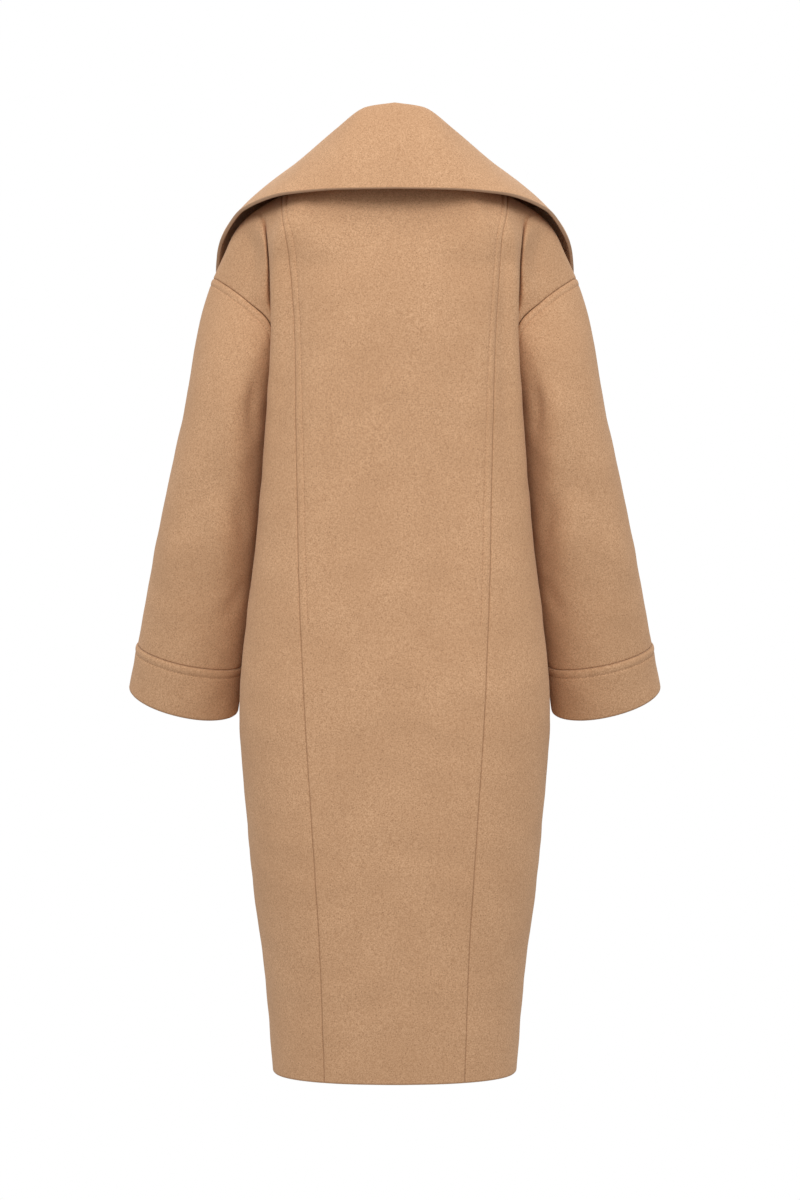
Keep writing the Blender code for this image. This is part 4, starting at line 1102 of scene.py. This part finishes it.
def camel_wool():
    """Camel wool coating, fulled and brushed: fibres of slightly different tans under a short, matt nap
    that catches light at a glancing angle. The real fibres are 0.02 mm thick, far too fine to show, so
    the melange is drawn at 2 mm and its darker flecks at 1.2 mm, which is what the eye makes of them."""
    settings = bpy.context.scene.coat_cloth
    material, tree, shader = new_material("camel_wool_coating_brushed", {
        "Roughness": 0.95, "IOR": 1.45, "Specular IOR Level": 0.25, "Sheen Weight": 0.18,
        "Sheen Roughness": 0.45, "Sheen Tint": (*linear("#F1DCC4"), 1),
    })
    place = add_node(tree, "ShaderNodeTexCoord", {}).outputs["Object"]
    # melange, clouds and flecks, each laid over what lies below it: the size of its grain in metres, the
    # noise's detail and roughness, the range of the noise that fades it in, its most share and its colour
    layers = (
        (0.0020, 3.0, 0.65, 0.36, 0.64, 1.00, settings.wool_light),
        (0.0700, 2.0, 0.50, 0.35, 0.65, 0.35, settings.wool_dark),
        (0.0012, 1.0, 0.50, 0.56, 0.72, 0.60, settings.fleck_and_edge_shade),
    )
    colour, grains = settings.wool_dark, []
    for size, detail, roughness, low, high, most, laid_on in layers:
        grains.append(add_node(tree, "ShaderNodeTexNoise", {
            "Vector": place, "Scale": 1 / size, "Detail": detail, "Roughness": roughness,
        }).outputs[0])
        share = add_node(tree, "ShaderNodeMapRange", {
            "Value": grains[-1], "From Min": low, "From Max": high, "To Max": most,
        }).outputs[0]
        mix = add_node(tree, "ShaderNodeMix", {0: share, 6: colour, 7: laid_on}, data_type="RGBA")
        colour = mix.outputs[2]
    # the attribute is 0 on the faces, a half in a seam and where an edge breaks, and 1 on its narrow side
    edge = add_node(tree, "ShaderNodeAttribute", {}, attribute_name="edge").outputs["Fac"]
    # the halves darken towards the fleck colour: along seams that is their dark joint, where a free edge
    # breaks it is painted shade
    breaks = add_node(tree, "ShaderNodeMath", {0: edge, 1: 0.5, 2: 0.3}, operation="COMPARE").outputs[0]
    seam_and_edge_shade_marks = add_node(tree, "ShaderNodeMath", {0: breaks, 1: 0.32}, operation="MULTIPLY").outputs[0]
    # painted shade: the narrow side of each turned edge is mixed towards a greyer, darker tan
    turned = add_node(tree, "ShaderNodeMapRange", {
        "Value": edge, "From Min": 0.6, "To Max": 0.7,
    }).outputs[0]
    for share, laid_on in ((seam_and_edge_shade_marks, settings.fleck_and_edge_shade), (turned, settings.rim_painted_shade)):
        mix = add_node(tree, "ShaderNodeMix", {0: share, 6: colour, 7: laid_on}, data_type="RGBA")
        colour = mix.outputs[2]
    tree.links.new(colour, shader["Base Color"])
    melange, _, flecks = grains
    height = add_node(tree, "ShaderNodeMath", {0: melange, 1: flecks}, operation="ADD").outputs[0]
    bump = add_node(tree, "ShaderNodeBump", {"Height": height, "Strength": 0.45, "Distance": 0.0007})
    tree.links.new(bump.outputs[0], shader["Normal"])
    return material


def sewing_thread():
    """Spun polyester sewing thread, dyed a shade darker than the cloth: a soft gloss on each stitch."""
    values = {"Roughness": 0.6, "Sheen Weight": 0.1}
    material, tree, shader = new_material("spun_polyester_thread", values)
    place = add_node(tree, "ShaderNodeTexCoord", {}).outputs["Object"]
    ply = add_node(tree, "ShaderNodeTexNoise", {"Vector": place, "Scale": 1 / 0.0008, "Detail": 1.0})
    mix = add_node(tree, "ShaderNodeMix", {
        0: ply.outputs[0], 6: linear("#A07654"), 7: linear("#BC906A"),
    }, data_type="RGBA")
    tree.links.new(mix.outputs[2], shader["Base Color"])
    return material


def horn_resin():
    """Cast polyester resin with a horn effect, turned and polished: brown clouds drawn out along one way
    under a hard gloss."""
    values = {"Roughness": 0.22, "IOR": 1.54, "Coat Weight": 0.3, "Coat Roughness": 0.08}
    material, tree, shader = new_material("cast_polyester_horn_effect", values)
    place = add_node(tree, "ShaderNodeTexCoord", {}).outputs["Object"]
    drawn = add_node(tree, "ShaderNodeMapping", {
        "Vector": place, "Scale": (1.0, 1.0, 3.5), "Rotation": (0.4, 0.5, 0.0),
    })
    cloud = add_node(tree, "ShaderNodeTexNoise", {
        "Vector": drawn.outputs[0], "Scale": 1 / 0.014, "Detail": 4.0, "Roughness": 0.55,
        "Distortion": 0.8,
    })
    share = add_node(tree, "ShaderNodeMapRange", {
        "Value": cloud.outputs[0], "From Min": 0.38, "From Max": 0.66,
    })
    mix = add_node(tree, "ShaderNodeMix", {
        0: share.outputs[0], 6: linear("#2A1810"), 7: linear("#7A5233"),
    }, data_type="RGBA")
    tree.links.new(mix.outputs[2], shader["Base Color"])
    return material


def pale_floor():
    """Matt white paper, as used under studio products."""
    values = {"Base Color": (*linear("#F7F7F6"), 1), "Roughness": 0.9}
    return new_material("matt_white_paper", values)[0]


# ---------------------------------------------------------------- settings and operators


class ClothSettings(bpy.types.PropertyGroup):
    """Sizes and colours of the cloth and its sewing"""

    seam_depth: FloatProperty(name="Seam depth", description="How far the cloth drops into a seam",
                              default=0.0009, min=0, unit="LENGTH")
    stitch_depth: FloatProperty(name="Stitch depth", description="How far stitches draw the cloth in",
                                default=0.0006, min=0, unit="LENGTH")
    stitch_length: FloatProperty(name="Stitch length", description="Length of one topstitch",
                                 default=0.0036, min=0.001, unit="LENGTH")
    stitch_gap: FloatProperty(name="Stitch gap", description="Gap between two topstitches",
                              default=0.0012, min=0, unit="LENGTH")
    thread_radius: FloatProperty(name="Thread radius", description="Half the thickness of the thread",
                                 default=0.00035, min=0.0001, unit="LENGTH")
    wool_light: FloatVectorProperty(name="Light wool", description="The lighter fibres of the cloth",
                                    default=linear("#DBAF88"), min=0, max=1, subtype="COLOR")
    wool_dark: FloatVectorProperty(name="Dark wool", description="The darker fibres of the cloth",
                                   default=linear("#BE926D"), min=0, max=1, subtype="COLOR")
    # also the colour of the seams' dark line and of the painted shade where a free edge breaks
    fleck_and_edge_shade: FloatVectorProperty(name="Flecks", description="The few dark fibres in the cloth, its seams' dark line and painted shade at its edges",
                                    default=linear("#8C6446"), min=0, max=1, subtype="COLOR")
    # painted shade: the greyer, darker tan laid on the narrow side of turned edges, as that rim looks in
    # shade
    rim_painted_shade: FloatVectorProperty(name="Turned edge", description="Painted shade where an edge turns over",
                                   default=linear("#B2937A"), min=0, max=1, subtype="COLOR")


class StageSettings(bpy.types.PropertyGroup):
    """Light and floor of the studio"""

    sky_above: FloatProperty(name="Light from above", description="Strength of the even light from above",
                             default=1.0, min=0)
    sky_below: FloatProperty(name="Light from below", description="Strength of the even light from below",
                             default=0.45, min=0)
    key_power: FloatProperty(name="Lamps", description="Power of each of the two large lamps",
                             default=21.0, min=0, unit="POWER")
    floor_drop: FloatProperty(name="Floor", description="From the hem down to the floor",
                              default=0.45, min=0, unit="LENGTH")


class ClothOperator:
    """What the cloth's operators share"""

    bl_options = {"REGISTER", "UNDO"}

    def wool(self):
        """The one cloth material, made when it is first asked for."""
        return bpy.data.materials.get("camel_wool_coating_brushed") or camel_wool()

    def thread(self):
        """The one thread material, made when it is first asked for."""
        return bpy.data.materials.get("spun_polyester_thread") or sewing_thread()


class COAT_OT_back(ClothOperator, bpy.types.Operator):
    """Makes the back's middle panel and side panels"""

    bl_idname = "coat.back"
    bl_label = "Back"

    def execute(self, context):
        make_back(self.wool())
        return {"FINISHED"}


class COAT_OT_fronts(ClothOperator, bpy.types.Operator):
    """Makes the two overlapping fronts"""

    bl_idname = "coat.fronts"
    bl_label = "Fronts"

    def execute(self, context):
        make_fronts(self.wool())
        return {"FINISHED"}


class COAT_OT_sleeves(ClothOperator, bpy.types.Operator):
    """Makes the two sleeves"""

    bl_idname = "coat.sleeves"
    bl_label = "Sleeves"

    def execute(self, context):
        make_sleeves(self.wool())
        return {"FINISHED"}


class COAT_OT_cuffs(ClothOperator, bpy.types.Operator):
    """Makes the two cuff bands"""

    bl_idname = "coat.cuffs"
    bl_label = "Cuffs"

    def execute(self, context):
        make_cuffs(self.wool())
        return {"FINISHED"}


class COAT_OT_collar(ClothOperator, bpy.types.Operator):
    """Makes the shawl collar with its lapels"""

    bl_idname = "coat.collar"
    bl_label = "Shawl collar"

    def execute(self, context):
        make_collar(self.wool())
        return {"FINISHED"}


class COAT_OT_stitching(ClothOperator, bpy.types.Operator):
    """Sews the topstitching on the back, the sleeves and the cuffs"""

    bl_idname = "coat.stitching"
    bl_label = "Topstitching"

    def execute(self, context):
        make_stitching(self.thread())
        return {"FINISHED"}


class COAT_OT_buttons(ClothOperator, bpy.types.Operator):
    """Makes the six buttons and the thread in their holes"""

    bl_idname = "coat.buttons"
    bl_label = "Buttons"

    def execute(self, context):
        make_buttons(horn_resin(), self.thread())
        return {"FINISHED"}


class COAT_OT_stage(bpy.types.Operator):
    """Sets up the pale floor, the soft studio light and the camera behind the coat"""

    bl_idname = "coat.stage"
    bl_label = "Stage"

    def execute(self, context):
        make_stage(context.scene, context.scene.coat_stage)
        return {"FINISHED"}


FRAME_HEIGHT = 1.56  # what the photograph's frame takes in at the coat
CAMERA_PLACE = (-0.0068, 3.5, -0.559)
SENSOR = 36.0
FLOOR_RADIUS, FLOOR_CORNERS = 1.1, 64
LAMPS = (("key", 2.1), ("front", -2.1))  # name and y of the lamp behind the coat and the one before it
LAMP_HEIGHT, LAMP_SIZE, LAMPS_AIM = 0.95, 1.0, (0, 0, -0.40)


def make_stage(scene, settings):
    """The floor, the lights and the camera."""
    angle, level = full_turn(FLOOR_CORNERS), HEM_HEIGHT - settings.floor_drop
    rim = np.stack([FLOOR_RADIUS * np.cos(angle), FLOOR_RADIUS * np.sin(angle), 0 * angle + level], -1)
    mesh = bpy.data.meshes.new("floor")
    mesh.from_pydata(rim.tolist(), [], [list(range(FLOOR_CORNERS))])
    mesh.materials.append(pale_floor())
    floor = bpy.data.objects.new("floor", mesh)
    scene.collection.objects.link(floor)
    floor.visible_diffuse = False  # no light comes up from it into the coat's folds

    # soft light that grows from below to above, before a plain white background
    world = bpy.data.worlds.new("studio")
    world.use_nodes = True
    tree = world.node_tree
    tree.nodes.clear()
    towards = add_node(tree, "ShaderNodeTexCoord", {}).outputs["Generated"]
    height = add_node(tree, "ShaderNodeSeparateXYZ", {"Vector": towards}).outputs["Z"]
    strength = add_node(tree, "ShaderNodeMapRange", {
        "Value": height, "From Min": -0.6, "From Max": 0.8, "To Min": settings.sky_below,
        "To Max": settings.sky_above}, interpolation_type="SMOOTHSTEP").outputs[0]
    soft = add_node(tree, "ShaderNodeBackground", {"Color": (1, 1, 1, 1), "Strength": strength})
    plain = add_node(tree, "ShaderNodeBackground", {"Color": (1, 1, 1, 1), "Strength": 1.0})
    seen = add_node(tree, "ShaderNodeLightPath", {}).outputs["Is Camera Ray"]
    mix = add_node(tree, "ShaderNodeMixShader", {0: seen, 1: soft.outputs[0], 2: plain.outputs[0]})
    add_node(tree, "ShaderNodeOutputWorld", {"Surface": mix.outputs[0]})
    scene.world = world
    scene.view_settings.view_transform = "Standard"

    for name, y in LAMPS:
        lamp = bpy.data.lights.new(name, "AREA")
        lamp.size, lamp.energy = LAMP_SIZE, settings.key_power
        light = bpy.data.objects.new(name, lamp)
        light.location = (0.0, y, LAMP_HEIGHT)
        light.rotation_euler = (Vector(LAMPS_AIM) - light.location).to_track_quat("-Z", "Y").to_euler()
        scene.collection.objects.link(light)

    data = bpy.data.cameras.new("camera")
    data.sensor_fit, data.sensor_height = "VERTICAL", SENSOR
    data.lens = SENSOR * CAMERA_PLACE[1] / FRAME_HEIGHT
    camera = bpy.data.objects.new("camera", data)
    camera.location, camera.rotation_euler = CAMERA_PLACE, (np.pi / 2, 0, np.pi)
    scene.collection.objects.link(camera)
    scene.camera = camera


OPERATORS = (
    COAT_OT_back, COAT_OT_fronts, COAT_OT_sleeves, COAT_OT_cuffs, COAT_OT_collar, COAT_OT_stitching,
    COAT_OT_buttons, COAT_OT_stage,
)


class COAT_PT_panel(bpy.types.Panel):
    """The coat's sidebar panel"""

    bl_idname = "COAT_PT_panel"
    bl_label = "Coat"
    bl_space_type = "VIEW_3D"
    bl_region_type = "UI"
    bl_category = "Coat"

    def draw(self, context):
        for operator in OPERATORS:
            self.layout.operator(operator.bl_idname)
        for group in (context.scene.coat_cloth, context.scene.coat_stage):
            for name in group.__annotations__:
                self.layout.prop(group, name)


CLASSES = (ClothSettings, StageSettings, *OPERATORS, COAT_PT_panel)


def register():
    for each in CLASSES:
        bpy.utils.register_class(each)
    bpy.types.Scene.coat_cloth = PointerProperty(type=ClothSettings)
    bpy.types.Scene.coat_stage = PointerProperty(type=StageSettings)


def unregister():
    del bpy.types.Scene.coat_cloth, bpy.types.Scene.coat_stage
    for each in reversed(CLASSES):
        bpy.utils.unregister_class(each)


def main():
    """Makes the coat piece by piece."""
    register()
    bpy.ops.coat.back()
    bpy.ops.coat.fronts()
    bpy.ops.coat.sleeves()
    bpy.ops.coat.cuffs()
    bpy.ops.coat.collar()
    bpy.ops.coat.stitching()
    bpy.ops.coat.buttons()
    bpy.ops.coat.stage()


if __name__ == "__main__":
    main()
